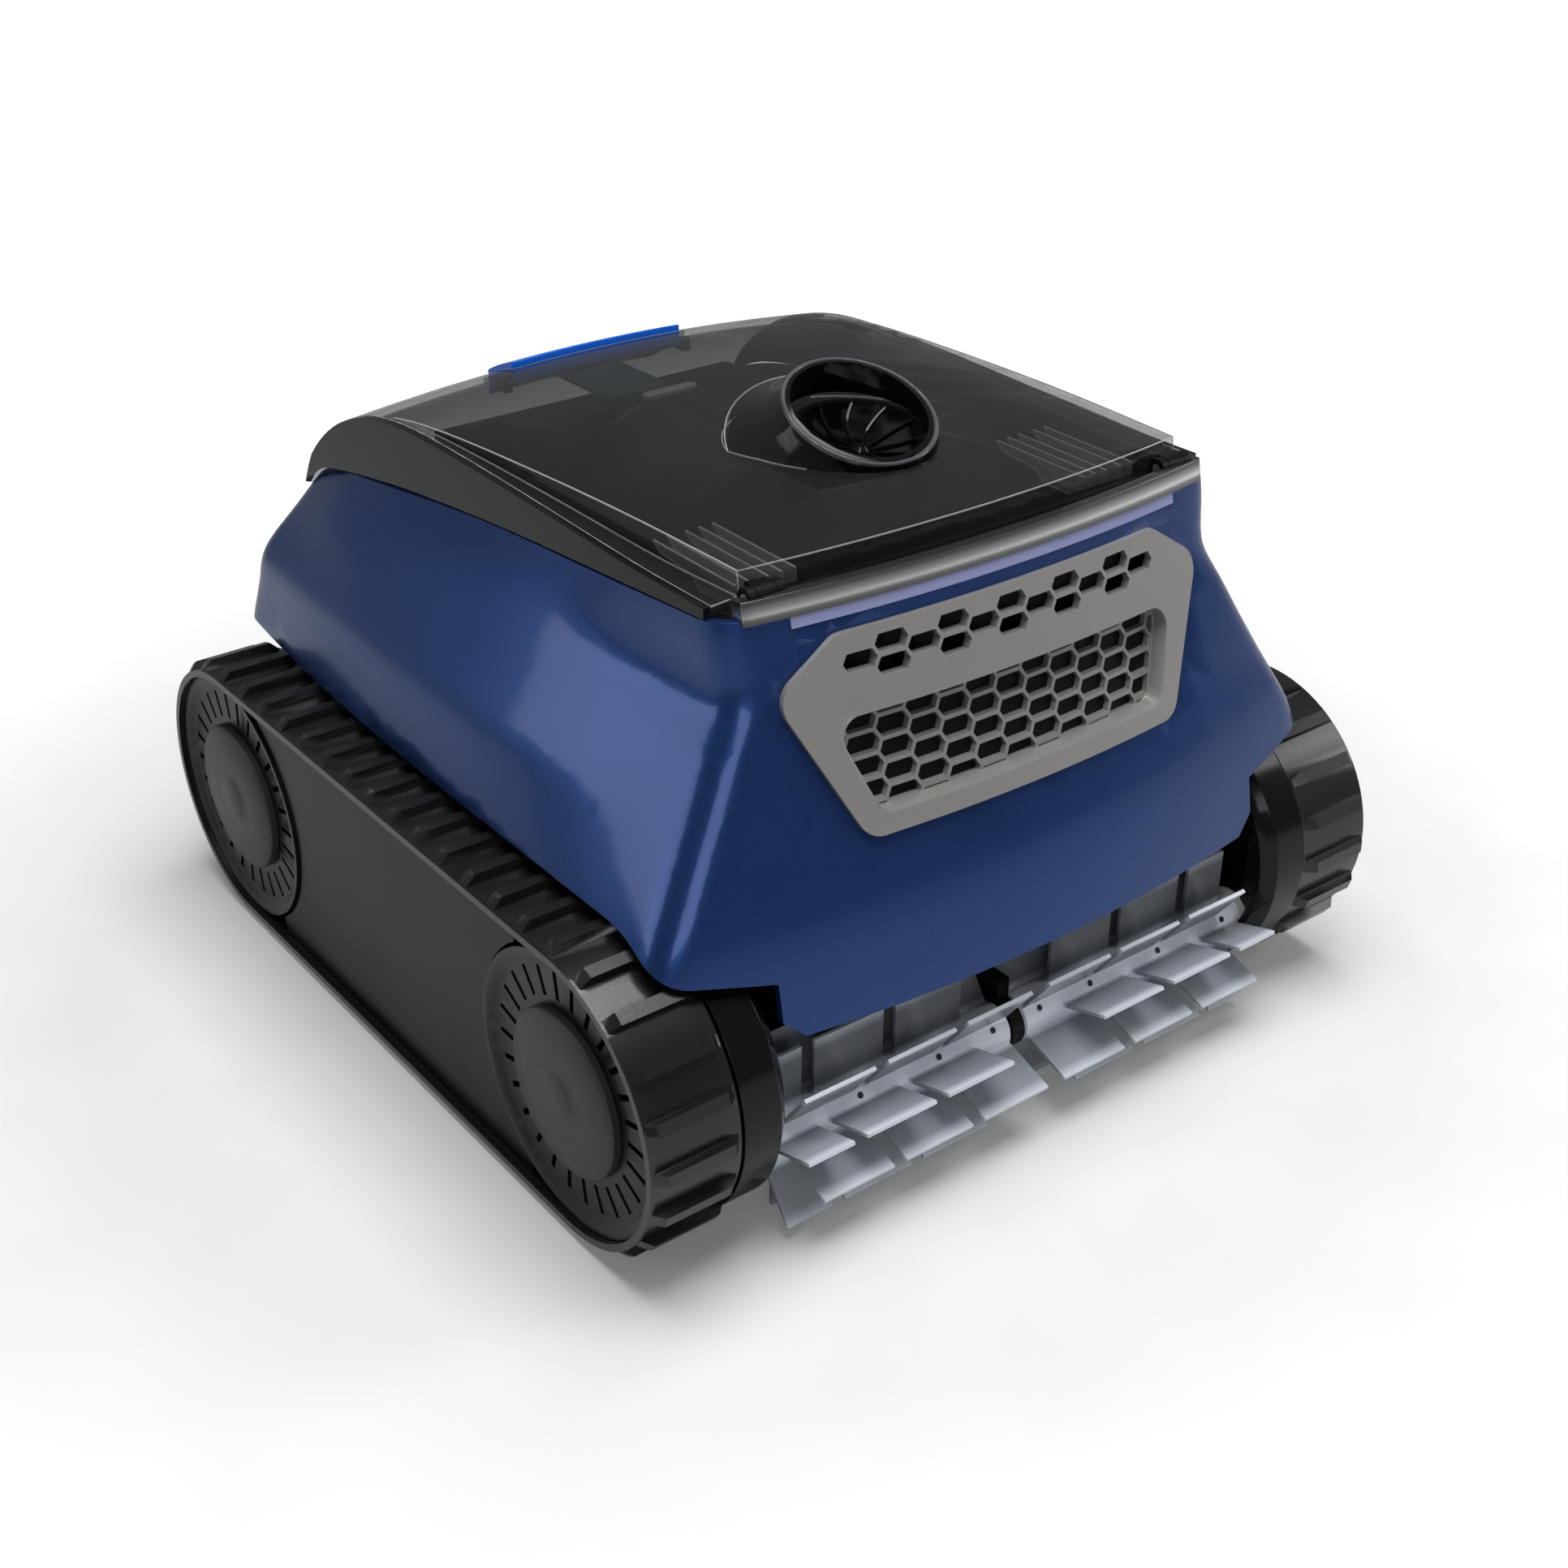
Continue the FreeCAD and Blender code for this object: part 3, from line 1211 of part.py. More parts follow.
def pump_duct():
    """Tube round the propeller, on three legs that leave the water a way in."""
    profile = (
        (DUCT_INNER_R, DUCT_BOTTOM),
        (DUCT_OUTER_R, DUCT_BOTTOM),
        (DUCT_OUTER_R, DUCT_TOP),
        (DUCT_INNER_R, DUCT_TOP),
    )
    tube = spun(profile, GUARD, GUARD_TILT)
    legs = []
    for index in range(3):
        leg = block(-4, 4, DUCT_INNER_R, DUCT_OUTER_R, COVER_HIGH, DUCT_BOTTOM + 0.5)
        foot = block(-4, 4, PUMP_R - 8.0, DUCT_OUTER_R, COVER_HIGH, COVER_HIGH + 3.0)
        leg = leg.fuse(foot)
        leg.rotate(Vector(0, 0, 0), Vector(0, 0, 1), 120 * index + 90)
        legs.append(on_axis(leg, GUARD, GUARD_TILT))
    return tube.multiFuse(legs)


def outlet_guard():
    """Rim, hub and curved vanes over the propeller; the hub sits lower than the rim."""
    rim = ((DUCT_INNER_R, DUCT_TOP), (DUCT_OUTER_R, DUCT_TOP), (DUCT_OUTER_R, 0), (DUCT_INNER_R, 0))
    hub_low = -9.5
    hub = ((0, hub_low), (3.6, hub_low), (3.6, hub_low + 2.5), (2.0, hub_low + 4.0), (0, hub_low + 4.0))
    pieces = [spun(rim, GUARD, GUARD_TILT), spun(hub, GUARD, GUARD_TILT)]
    for index in range(GUARD_VANES):
        start = Vector(2.5, 0, hub_low + 1.2)
        end = Vector(DUCT_INNER_R + 1.0, 0, -0.9)
        middle = Vector(14.0, 3.0, hub_low + 2.4)
        path = Part.Wire([Part.Arc(start, middle, end).toShape()])
        section = Part.Wire(
            Part.makePolygon([
                start + Vector(0, -0.45, -1.0),
                start + Vector(0, 0.45, -1.0),
                start + Vector(0, 0.45, 1.0),
                start + Vector(0, -0.45, 1.0),
                start + Vector(0, -0.45, -1.0),
            ])
        )
        vane = path.makePipeShell([section], True, True)
        vane.rotate(Vector(0, 0, 0), Vector(0, 0, 1), 360 * index / GUARD_VANES)
        pieces.append(on_axis(vane, GUARD, GUARD_TILT))
    seat = (
        (DUCT_INNER_R - FREE, DUCT_BOTTOM),
        (DUCT_OUTER_R + FREE, DUCT_BOTTOM),
        (DUCT_OUTER_R + FREE, DUCT_TOP),
        (DUCT_INNER_R - FREE, DUCT_TOP),
    )
    return pieces[0].multiFuse(pieces[1:]).cut(spun(seat, GUARD, GUARD_TILT))


def propeller():
    low, high = PROP_LOW, PROP_HIGH
    core = PUMP_SHAFT_R
    hub_line = ((core, low), (PROP_HUB_R, low), (PROP_HUB_R, high), (core, high))
    hub = spun(hub_line, GUARD, GUARD_TILT)
    blades = []
    for index in range(PROP_BLADES):
        blade = block(PROP_HUB_R - 1.5, PROP_R - 0.4, -8.5, 8.5, -1.1, 1.1)
        blade.rotate(Vector(0, 0, 0), Vector(1, 0, 0), 32)
        blade.translate(Vector(0, 0, (low + high) / 2))
        blade.rotate(Vector(0, 0, 0), Vector(0, 0, 1), 360 * index / PROP_BLADES)
        blades.append(on_axis(blade, GUARD, GUARD_TILT))
    reach = spun(((core, low), (PROP_R, low), (PROP_R, high), (core, high)), GUARD, GUARD_TILT)
    return hub.multiFuse(blades).common(reach)


def pump_shaft():
    low = PUMP_TOP - 11
    high = PROP_HIGH + 1
    line = ((0, low), (PUMP_SHAFT_R, low), (PUMP_SHAFT_R, high), (0, high))
    return spun(line, GUARD, GUARD_TILT)


def pump_deck(inner):
    """Black deck under the lid, round the pump duct."""
    z = DECK_HEIGHT
    deck = block(-102.0, 102.0, OPENING_FRONT + 8.0, FILTER_FRONT - 4.0, z, z + 3.0)
    hole_r = DUCT_OUTER_R + 0.2
    hole = spun(((0, -60), (hole_r, -60), (hole_r, 20), (0, 20)), GUARD, GUARD_TILT)
    front_flange = block(-102.0, 102.0, OPENING_FRONT + 8.0, OPENING_FRONT + 11.0, z - 12.0, z)
    return deck.fuse(front_flange).cut(hole).common(inner)


# ---------------------------------------------------------------- filter
def filter_frame():
    wall = FILTER_WALL
    box = block(-FILTER_HALF, FILTER_HALF, FILTER_FRONT, FILTER_REAR, FILTER_BOTTOM, FILTER_TOP)
    room = block(
        -FILTER_HALF + wall,
        FILTER_HALF - wall,
        FILTER_FRONT + wall,
        FILTER_REAR - wall,
        FILTER_BOTTOM + wall,
        FILTER_TOP + 1,
    )
    solid = box.cut(room)
    solid = solid.cut(Part.makeCompound(filter_windows())).cut(throat_hole())
    return solid.fuse(both(flap_ear()))


def throat_hole():
    half = FLAP_HALF - 3
    low = FILTER_BOTTOM - 1
    return block(-half, half, SLOT_FRONT + 6, SLOT_REAR - 6, low, low + 6)


def filter_windows():
    """Window blanks in the canister's four walls."""
    low, high = FILTER_BOTTOM + 18.0, FILTER_TOP - 12.0
    windows = []
    span = (FILTER_HALF * 2 - 8.0 * 4) / 3
    for index in range(3):
        x0 = -FILTER_HALF + 8.0 + index * (span + 8.0)
        for y in (FILTER_FRONT, FILTER_REAR - FILTER_WALL):
            windows.append(block(x0, x0 + span, y - 0.5, y + FILTER_WALL + 0.5, low, high))
    depth = (FILTER_REAR - FILTER_FRONT - 8.0 * 3) / 2
    for index in range(2):
        y0 = FILTER_FRONT + 8.0 + index * (depth + 8.0)
        for x in (-FILTER_HALF, FILTER_HALF - FILTER_WALL):
            windows.append(block(x - 0.5, x + FILTER_WALL + 0.5, y0, y0 + depth, low, high))
    return windows


def filter_mesh():
    """Fine mesh panels, one in each window, drawn as thin sheets."""
    inset = (FILTER_WALL + 1 - MESH_THICK) / 2
    sheets = []
    for window in filter_windows():
        box = window.BoundBox
        if box.YLength < FILTER_WALL + 2:
            sheets.append(
                block(box.XMin, box.XMax, box.YMin + inset, box.YMax - inset, box.ZMin, box.ZMax)
            )
        else:
            sheets.append(
                block(box.XMin + inset, box.XMax - inset, box.YMin, box.YMax, box.ZMin, box.ZMax)
            )
    return Part.makeCompound(sheets)


def filter_lid():
    """Flat black top of the canister with a recessed grip."""
    z0 = FILTER_TOP
    plate = block(-FILTER_HALF, FILTER_HALF, FILTER_FRONT, FILTER_REAR, z0, z0 + FILTER_LID_THICK)
    plug = block(
        -FILTER_HALF + FILTER_WALL + FREE,
        FILTER_HALF - FILTER_WALL - FREE,
        FILTER_FRONT + FILTER_WALL + FREE,
        FILTER_REAR - FILTER_WALL - FREE,
        z0 - 4.0,
        z0,
    )
    start = Vector(-30, 60, z0 + FILTER_LID_THICK)
    end = Vector(30, 60, z0 + FILTER_LID_THICK)
    pull = Part.Arc(start, Vector(0, 60, z0 + 16.0), end).toShape()
    section = Part.makeCircle(3.0, start, pull.tangentAt(pull.FirstParameter))
    grip = Part.Wire([pull]).makePipeShell([Part.Wire([section])], True, False)
    return plate.multiFuse([plug, grip])


def inlet_throat():
    """Rectangular duct from the suction slot up to the canister."""
    wall = HULL_WALL
    half = SLOT_HALF - wall
    outer = block(-SLOT_HALF, SLOT_HALF, SLOT_FRONT, SLOT_REAR, HULL_BOTTOM + 1.0, FILTER_BOTTOM)
    inner = block(-half, half, SLOT_FRONT + wall, SLOT_REAR - wall, HULL_BOTTOM, FILTER_BOTTOM + 1)
    return outer.cut(inner)


def inlet_flap():
    """Flap that lies over the throat inside the canister, on a rear cross pin."""
    z0 = FILTER_BOTTOM + FILTER_WALL + FREE
    half = FLAP_HALF
    axis = flap_axis()
    plate = block(-half, half, SLOT_FRONT + 3.0, axis.y, z0, z0 + FLAP_THICK)
    barrel = disc(axis, FLAP_BARREL_R, -half, half)
    pin = disc(axis, FLAP_PIN_R, -half - 5.0, half + 5.0)
    return plate.multiFuse([barrel, pin])


def flap_axis():
    return Vector(0, SLOT_REAR, FILTER_BOTTOM + FILTER_WALL + FREE + FLAP_BARREL_R)


def flap_ear():
    """Upright lug on the canister floor that holds the flap's pin."""
    axis = flap_axis()
    near = FLAP_HALF + FREE
    far = near + 5.0
    floor = FILTER_BOTTOM + FILTER_WALL
    lug = block(near, far, axis.y - 3.2, axis.y + 3.2, floor, axis.z + 3.2)
    return lug.cut(disc(axis, FLAP_PIN_R + RUNNING, near - 1.0, far + 1.0))


# ---------------------------------------------------------------- small parts
def cable_gland():
    """Bored boss in the rear panel where the floating cable enters."""
    backward = Vector(0, 1, 0)
    body = Part.makeCylinder(GLAND_R, 16.0, Vector(0, GLAND_REAR - 12.0, GLAND_Z), backward)
    nut = Part.makeCylinder(GLAND_R + 3.0, 4.0, Vector(0, GLAND_REAR - 14.0, GLAND_Z), backward)
    bore = Part.makeCylinder(GLAND_BORE_R, 40.0, Vector(0, GLAND_REAR - 20.0, GLAND_Z), backward)
    return body.fuse(nut).cut(bore)


def screw(x, y, z, length):
    """Pan head screw driven upwards."""
    shank = Part.makeCylinder(2.0, length, Vector(x, y, z))
    head = Part.makeCylinder(4.0, 2.4, Vector(x, y, z - 2.4))
    drive = Part.makeBox(5.0, 1.0, 1.2, Vector(x - 2.5, y - 0.5, z - 2.4))
    return shank.fuse(head).cut(drive)


def screw_places():
    return [(x, y) for y in (-110.0, -40.0, 90.0, 160.0) for x in (-100.0, 100.0)]


def hull_screws():
    """Screws in the hull's floor posts."""
    return Part.makeCompound([screw(x, y, HULL_BOTTOM, 10.0) for x, y in screw_places()])


# ---------------------------------------------------------------- run
def build():
    form = body_form(0.0)
    inner = body_form(SHELL_WALL)
    painted = form.cut(above_top_line(0.0))
    strip = upper_strip(painted)
    plateau = plateau_form(0.0)
    window, rims = lid_parts()

    save("body_shell", body_shell(painted, inner, under_edge()))
    save("rear_panel", rear_panel(painted, inner))
    save("front_grille", front_grille())
    save("grille_baffle", grille_baffle())
    save("front_strip_upper", strip)
    save("front_strip_lower", lower_strip())
    save("front_rim", front_rim(inner, strip))
    save("hinge_pins", hinge_pins())
    save("lid_gutter", lid_gutter(inner))
    save("lid_window", window)
    save("lid_side_rims", rims)
    save("lid_hinge_arms", both(lid_hinge_arm(plateau)))
    save("outlet_ring", outlet_ring())
    save("latch_handle", latch_handle())
    save("latch_bracket", latch_bracket())

    save("chassis_base", chassis_base())
    save("hull_screws", hull_screws())
    save("motor_block", motor_block())
    save("motor_block_cover", motor_block_cover())
    save("pump_motor", pump_motor())
    save("traction_motors", both(traction_motor()))
    save("control_board", control_board())
    save("pump_duct", pump_duct())
    save("outlet_guard", outlet_guard())
    save("propeller", propeller())
    save("pump_shaft", pump_shaft())
    save("pump_deck", pump_deck(inner))
    save("filter_frame", filter_frame())
    save("filter_mesh", filter_mesh())
    save("filter_lid", filter_lid())
    save("inlet_throat", inlet_throat())
    save("inlet_flap", inlet_flap())
    save("cable_gland", cable_gland())

    save_pair("side_cover", side_cover())
    save_pair("gear_case", gear_case())
    save_pair("track_belt", track_belt())
    front_pin = stub_axle(FRONT_AXLE, CASE_FACE - 2.0)
    rear_pin = stub_axle(REAR_AXLE, HULL_FACE - HULL_WALL)
    save("stub_axles", Part.makeCompound([both(front_pin), both(rear_pin)]))
    save_pair("wheel_front", wheel(FRONT_AXLE))
    save_pair("wheel_rear", wheel(REAR_AXLE))
    save_pair("hub_cap_front", hub_cap(FRONT_AXLE))
    save_pair("hub_cap_rear", hub_cap(REAR_AXLE))
    save_pair("wheel_gear", wheel_gear(BRUSH_ANGLE))
    save_pair("drive_pinion", drive_pinion(mating_phase(DRIVE_ANGLE, BRUSH_ANGLE)))
    brush_phase = mating_phase(BRUSH_ANGLE, BRUSH_ANGLE)
    save_pair("brush_gear", gear(PINION_TEETH, BRUSH_AXLE, brush_phase, SPIGOT_R))
    save_pair("brush_tube", brush_tube())
    save_pair("brush_blades", brush_blades())
    save("brush_bushes", both(brush_bush()))
    save("brush_centre_support", brush_centre_support())


build()
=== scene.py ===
"""Pool cleaning robot: finishes, fine details, floor, light and camera round its CAD frame.

Metres, +Z up, brush side towards -Y; the machine's own left side is +X.
"""

import json
import math

import bmesh
import bpy
from mathutils import Matrix, Vector


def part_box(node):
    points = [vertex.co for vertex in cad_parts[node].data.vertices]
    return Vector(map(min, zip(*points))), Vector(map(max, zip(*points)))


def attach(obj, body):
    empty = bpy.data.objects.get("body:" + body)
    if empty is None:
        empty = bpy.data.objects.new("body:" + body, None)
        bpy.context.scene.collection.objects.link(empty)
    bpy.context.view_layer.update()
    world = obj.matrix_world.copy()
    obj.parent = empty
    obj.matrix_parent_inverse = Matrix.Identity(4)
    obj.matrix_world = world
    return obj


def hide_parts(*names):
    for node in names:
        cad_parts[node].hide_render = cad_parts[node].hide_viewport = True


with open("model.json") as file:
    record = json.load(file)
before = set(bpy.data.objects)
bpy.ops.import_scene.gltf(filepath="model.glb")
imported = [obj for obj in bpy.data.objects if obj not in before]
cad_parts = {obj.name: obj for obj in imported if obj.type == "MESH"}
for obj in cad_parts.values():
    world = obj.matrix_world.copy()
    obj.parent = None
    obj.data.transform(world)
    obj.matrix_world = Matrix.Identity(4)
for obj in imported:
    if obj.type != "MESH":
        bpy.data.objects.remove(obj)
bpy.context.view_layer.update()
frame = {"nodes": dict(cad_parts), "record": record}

SIDES = (("left", 1), ("right", -1))

# ---------------------------------------------------------------- places taken from the frame
SLEEVE_THICK = 0.0012
tube_low, tube_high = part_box("brush_tube_left")
BRUSH_AXLE = (tube_low + tube_high) / 2
SLEEVE_R = (tube_high.z - tube_low.z) / 2 + SLEEVE_THICK
blade_low, blade_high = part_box("brush_blades_left")
BLADE_R = (blade_high.z - blade_low.z) / 2
# the mouth's centre lies a little in front of and below the middle of its ring's box
outlet_low, outlet_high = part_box("outlet_ring")
MOUTH = (outlet_low + outlet_high) / 2 + Vector((0, -0.0034, -0.0008))
MOUTH_TILT = math.radians(23.8)
CANISTER_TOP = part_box("filter_lid")[1].z
deck_low, deck_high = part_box("pump_deck")
DECK_FRONT = deck_low.y
DECK_TOP = deck_high.z
bar_low, bar_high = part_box("front_strip_upper")
# the shell's front wall, a little below its surface: its place at one height on the middle plane, how
# far it leans back as it rises, and how it curves back towards the sides
SHELL_FRONT = -0.16393
SHELL_FRONT_AT = 0.205
SHELL_LEAN = 0.2034
SHELL_BULGE = 0.73


# ---------------------------------------------------------------- shared node groups
# a colour Mix node's first and second colour, and its result
MIX_FIRST, MIX_SECOND, MIX_RESULT = 6, 7, 2


def new_group(name, inputs, outputs):
    """Shader node group with named sockets; inputs are (name, type, default), outputs (name, type)."""
    group = bpy.data.node_groups.new(name, "ShaderNodeTree")
    for label, kind, default in inputs:
        socket = group.interface.new_socket(name=label, in_out="INPUT", socket_type=kind)
        socket.default_value = default
    for label, kind in outputs:
        group.interface.new_socket(name=label, in_out="OUTPUT", socket_type=kind)
    return group


def add(tree, kind, **values):
    """New node; a key that names an input sets that input, and any other sets the node itself."""
    node = tree.nodes.new(kind)
    for key, value in values.items():
        label = key.replace("_", " ")
        if label in node.inputs:
            node.inputs[label].default_value = value
        else:
            setattr(node, key, value)
    return node


def moulded_grain_group():
    """Fine moulded grain: a bump normal, and roughness that varies over the surface."""
    group = new_group(
        "moulded grain",
        [
            ("Scale", "NodeSocketFloat", 900.0),
            ("Depth", "NodeSocketFloat", 0.00004),
            ("Roughness", "NodeSocketFloat", 0.45),
            ("Variation", "NodeSocketFloat", 0.08),
        ],
        [("Normal", "NodeSocketVector"), ("Roughness", "NodeSocketFloat")],
    )
    given = group.nodes.new("NodeGroupInput")
    result = group.nodes.new("NodeGroupOutput")
    place = group.nodes.new("ShaderNodeTexCoord")
    grain = add(group, "ShaderNodeTexNoise", Detail=3.0)
    cloud = add(group, "ShaderNodeTexNoise", Scale=22.0, Detail=3.0)
    bump = add(group, "ShaderNodeBump", Strength=0.5)
    spread = add(group, "ShaderNodeMath", operation="SUBTRACT")
    spread.inputs[1].default_value = 0.5
    share = add(group, "ShaderNodeMath", operation="MULTIPLY")
    total = add(group, "ShaderNodeMath", operation="ADD")
    link = group.links.new
    link(place.outputs["Object"], grain.inputs["Vector"])
    link(place.outputs["Object"], cloud.inputs["Vector"])
    link(given.outputs["Scale"], grain.inputs["Scale"])
    link(given.outputs["Depth"], bump.inputs["Distance"])
    link(grain.outputs["Fac"], bump.inputs["Height"])
    link(cloud.outputs["Fac"], spread.inputs[0])
    link(spread.outputs[0], share.inputs[0])
    link(given.outputs["Variation"], share.inputs[1])
    link(share.outputs[0], total.inputs[0])
    link(given.outputs["Roughness"], total.inputs[1])
    link(bump.outputs["Normal"], result.inputs["Normal"])
    link(total.outputs[0], result.inputs["Roughness"])
    return group


def tint_group():
    """Base colour that drifts a little between two shades over the surface."""
    group = new_group(
        "drifting tint",
        [
            ("Color", "NodeSocketColor", (0.1, 0.1, 0.1, 1.0)),
            ("Other", "NodeSocketColor", (0.2, 0.2, 0.2, 1.0)),
            ("Scale", "NodeSocketFloat", 14.0),
            ("Amount", "NodeSocketFloat", 0.3),
        ],
        [("Color", "NodeSocketColor")],
    )
    given = group.nodes.new("NodeGroupInput")
    result = group.nodes.new("NodeGroupOutput")
    place = group.nodes.new("ShaderNodeTexCoord")
    cloud = add(group, "ShaderNodeTexNoise", Detail=4.0)
    share = add(group, "ShaderNodeMath", operation="MULTIPLY")
    mix = add(group, "ShaderNodeMix", data_type="RGBA")
    link = group.links.new
    link(place.outputs["Object"], cloud.inputs["Vector"])
    link(given.outputs["Scale"], cloud.inputs["Scale"])
    link(cloud.outputs["Fac"], share.inputs[0])
    link(given.outputs["Amount"], share.inputs[1])
    link(share.outputs[0], mix.inputs[0])
    link(given.outputs["Color"], mix.inputs[MIX_FIRST])
    link(given.outputs["Other"], mix.inputs[MIX_SECOND])
    link(mix.outputs[MIX_RESULT], result.inputs["Color"])
    return group


GRAIN = moulded_grain_group()
TINT = tint_group()


# ---------------------------------------------------------------- materials
def rgba(colour):
    return (*colour, 1.0)


def shared(tree, group, **values):
    """Shared group placed in a material; the keys set its named inputs."""
    node = tree.nodes.new("ShaderNodeGroup")
    node.node_tree = group
    for key, value in values.items():
        node.inputs[key].default_value = value
    return node


def grained(name, colour, other, drift=0.3, **grain):
    """Material, and its shader, whose normal, roughness and colour come from the shared groups."""
    material = bpy.data.materials.new(name)
    material.use_nodes = True
    tree = material.node_tree
    shader = tree.nodes["Principled BSDF"]
    relief = shared(tree, GRAIN, **grain)
    tint = shared(tree, TINT, Color=rgba(colour), Other=rgba(other), Amount=drift)
    tree.links.new(relief.outputs["Normal"], shader.inputs["Normal"])
    tree.links.new(relief.outputs["Roughness"], shader.inputs["Roughness"])
    tree.links.new(tint.outputs["Color"], shader.inputs["Base Color"])
    return material, shader


def surface(name, colour, other, roughness, grain=(900.0, 0.00003), drift=0.3, **sockets):
    """Opaque material; grain is (scale, depth), and the other keys set the shader's own sockets."""
    scale, depth = grain
    material, shader = grained(
        name, colour, other, drift, Scale=scale, Depth=depth, Roughness=roughness
    )
    for key, value in sockets.items():
        shader.inputs[key.replace("_", " ")].default_value = value
    return material


def plastic(name, colour, roughness, depth=0.00004, scale=900.0, **sockets):
    """Moulded plastic that drifts towards a paler shade of its colour."""
    other = tuple(min(1.0, c * 1.5 + 0.004) for c in colour)
    return surface(name, colour, other, roughness, grain=(scale, depth), **sockets)


def brushed_metal(name, colour, roughness):
    """Bright metal that drifts towards a darker shade of its colour."""
    other = tuple(c * 0.8 for c in colour)
    return surface(name, colour, other, roughness, grain=(1500.0, 0.00003), Metallic=0.9)


def flake_paint():
    """Deep blue lacquer over fine metal flakes, each a little more or less metallic."""
    material = surface(
        "blue flake lacquer",
        (0.012, 0.043, 0.165),
        (0.017, 0.056, 0.21),
        0.33,
        grain=(2600.0, 0.00002),
        drift=0.25,
        Specular_IOR_Level=0.35,
        Coat_Weight=0.4,
        Coat_Roughness=0.1,
        Coat_IOR=1.45,
    )
    tree = material.node_tree
    shader = tree.nodes["Principled BSDF"]
    place = tree.nodes.new("ShaderNodeTexCoord")
    flakes = add(tree, "ShaderNodeTexVoronoi", Scale=2400.0)
    sparkle = add(tree, "ShaderNodeMapRange", To_Min=0.62, To_Max=0.86)
    tree.links.new(place.outputs["Object"], flakes.inputs["Vector"])
    tree.links.new(flakes.outputs["Color"], sparkle.inputs["Value"])
    tree.links.new(sparkle.outputs["Result"], shader.inputs["Metallic"])
    return material


def smoke_clear(name, colour, other, faint, strong):
    """Clear moulding, faint where seen square on and strong at its edges."""
    material, shader = grained(
        name, colour, other, Depth=0.000004, Roughness=0.06, Variation=0.04
    )
    shader.inputs["IOR"].default_value = 1.46
    shader.inputs["Specular IOR Level"].default_value = 0.45
    tree = material.node_tree
    edge = add(tree, "ShaderNodeLayerWeight", Blend=0.35)
    cover = add(tree, "ShaderNodeMapRange", To_Min=faint, To_Max=strong)
    tree.links.new(edge.outputs["Facing"], cover.inputs["Value"])
    tree.links.new(cover.outputs["Result"], shader.inputs["Alpha"])
    return material


def shaded(material, measure, stops, share=0.85):
    """Colour most of the material by a measure from 0 to 1, through (place, colour) stops."""
    tree = material.node_tree
    shader = tree.nodes["Principled BSDF"]
    drift = shader.inputs["Base Color"].links[0].from_socket
    ramp = tree.nodes.new("ShaderNodeValToRGB")
    while len(ramp.color_ramp.elements) < len(stops):
        ramp.color_ramp.elements.new(0.5)
    for element, (at, colour) in zip(ramp.color_ramp.elements, stops):
        element.position = at
        element.color = rgba(colour)
    mix = add(tree, "ShaderNodeMix", data_type="RGBA")
    mix.inputs[0].default_value = share
    tree.links.new(measure, ramp.inputs["Fac"])
    tree.links.new(drift, mix.inputs[MIX_FIRST])
    tree.links.new(ramp.outputs["Color"], mix.inputs[MIX_SECOND])
    tree.links.new(mix.outputs[MIX_RESULT], shader.inputs["Base Color"])


def brush_vinyl():
    """White sleeve, grey blades, paler towards their tips."""
    material = plastic("grey vinyl", (0.2, 0.215, 0.245), 0.26, depth=0.00003)
    tree = material.node_tree
    place = tree.nodes.new("ShaderNodeTexCoord")
    shift = add(tree, "ShaderNodeVectorMath", operation="SUBTRACT")
    shift.inputs[1].default_value = BRUSH_AXLE
    flat = add(tree, "ShaderNodeVectorMath", operation="MULTIPLY")
    flat.inputs[1].default_value = (0, 1, 1)
    reach = add(tree, "ShaderNodeVectorMath", operation="LENGTH")
    tip = add(tree, "ShaderNodeMapRange", From_Min=SLEEVE_R, From_Max=BLADE_R)
    link = tree.links.new
    link(place.outputs["Object"], shift.inputs[0])
    link(shift.outputs["Vector"], flat.inputs[0])
    link(flat.outputs["Vector"], reach.inputs[0])
    link(reach.outputs["Value"], tip.inputs["Value"])
    stops = (
        (0.0, (0.82, 0.86, 0.95)),
        (0.03, (0.7, 0.74, 0.83)),
        (0.12, (0.22, 0.235, 0.265)),
        (0.8, (0.26, 0.275, 0.31)),
        (1.0, (0.6, 0.63, 0.7)),
    )
    shaded(material, tip.outputs["Result"], stops)
    return material


def bar_with_painted_highlight():
    """Satin bar with a painted highlight along its middle and painted shade at its edges above and below.
    """
    material = brushed_metal("satin trim with painted highlight", (0.4, 0.4, 0.41), 0.15)
    tree = material.node_tree
    place = tree.nodes.new("ShaderNodeTexCoord")
    parts = tree.nodes.new("ShaderNodeSeparateXYZ")
    level = add(tree, "ShaderNodeMapRange", From_Min=bar_low.z, From_Max=bar_high.z)
    tree.links.new(place.outputs["Object"], parts.inputs["Vector"])
    tree.links.new(parts.outputs["Z"], level.inputs["Value"])
    # by height on the bar: painted shade at the bottom and top edges, a painted highlight in the middle
    # band
    stops = (
        (0.0, (0.1, 0.1, 0.1)),
        (0.22, (0.25, 0.25, 0.25)),
        (0.36, (0.9, 0.9, 0.88)),
        (0.55, (0.45, 0.45, 0.45)),
        (0.85, (0.08, 0.08, 0.08)),
    )
    shaded(material, level.outputs["Result"], stops)
    return material


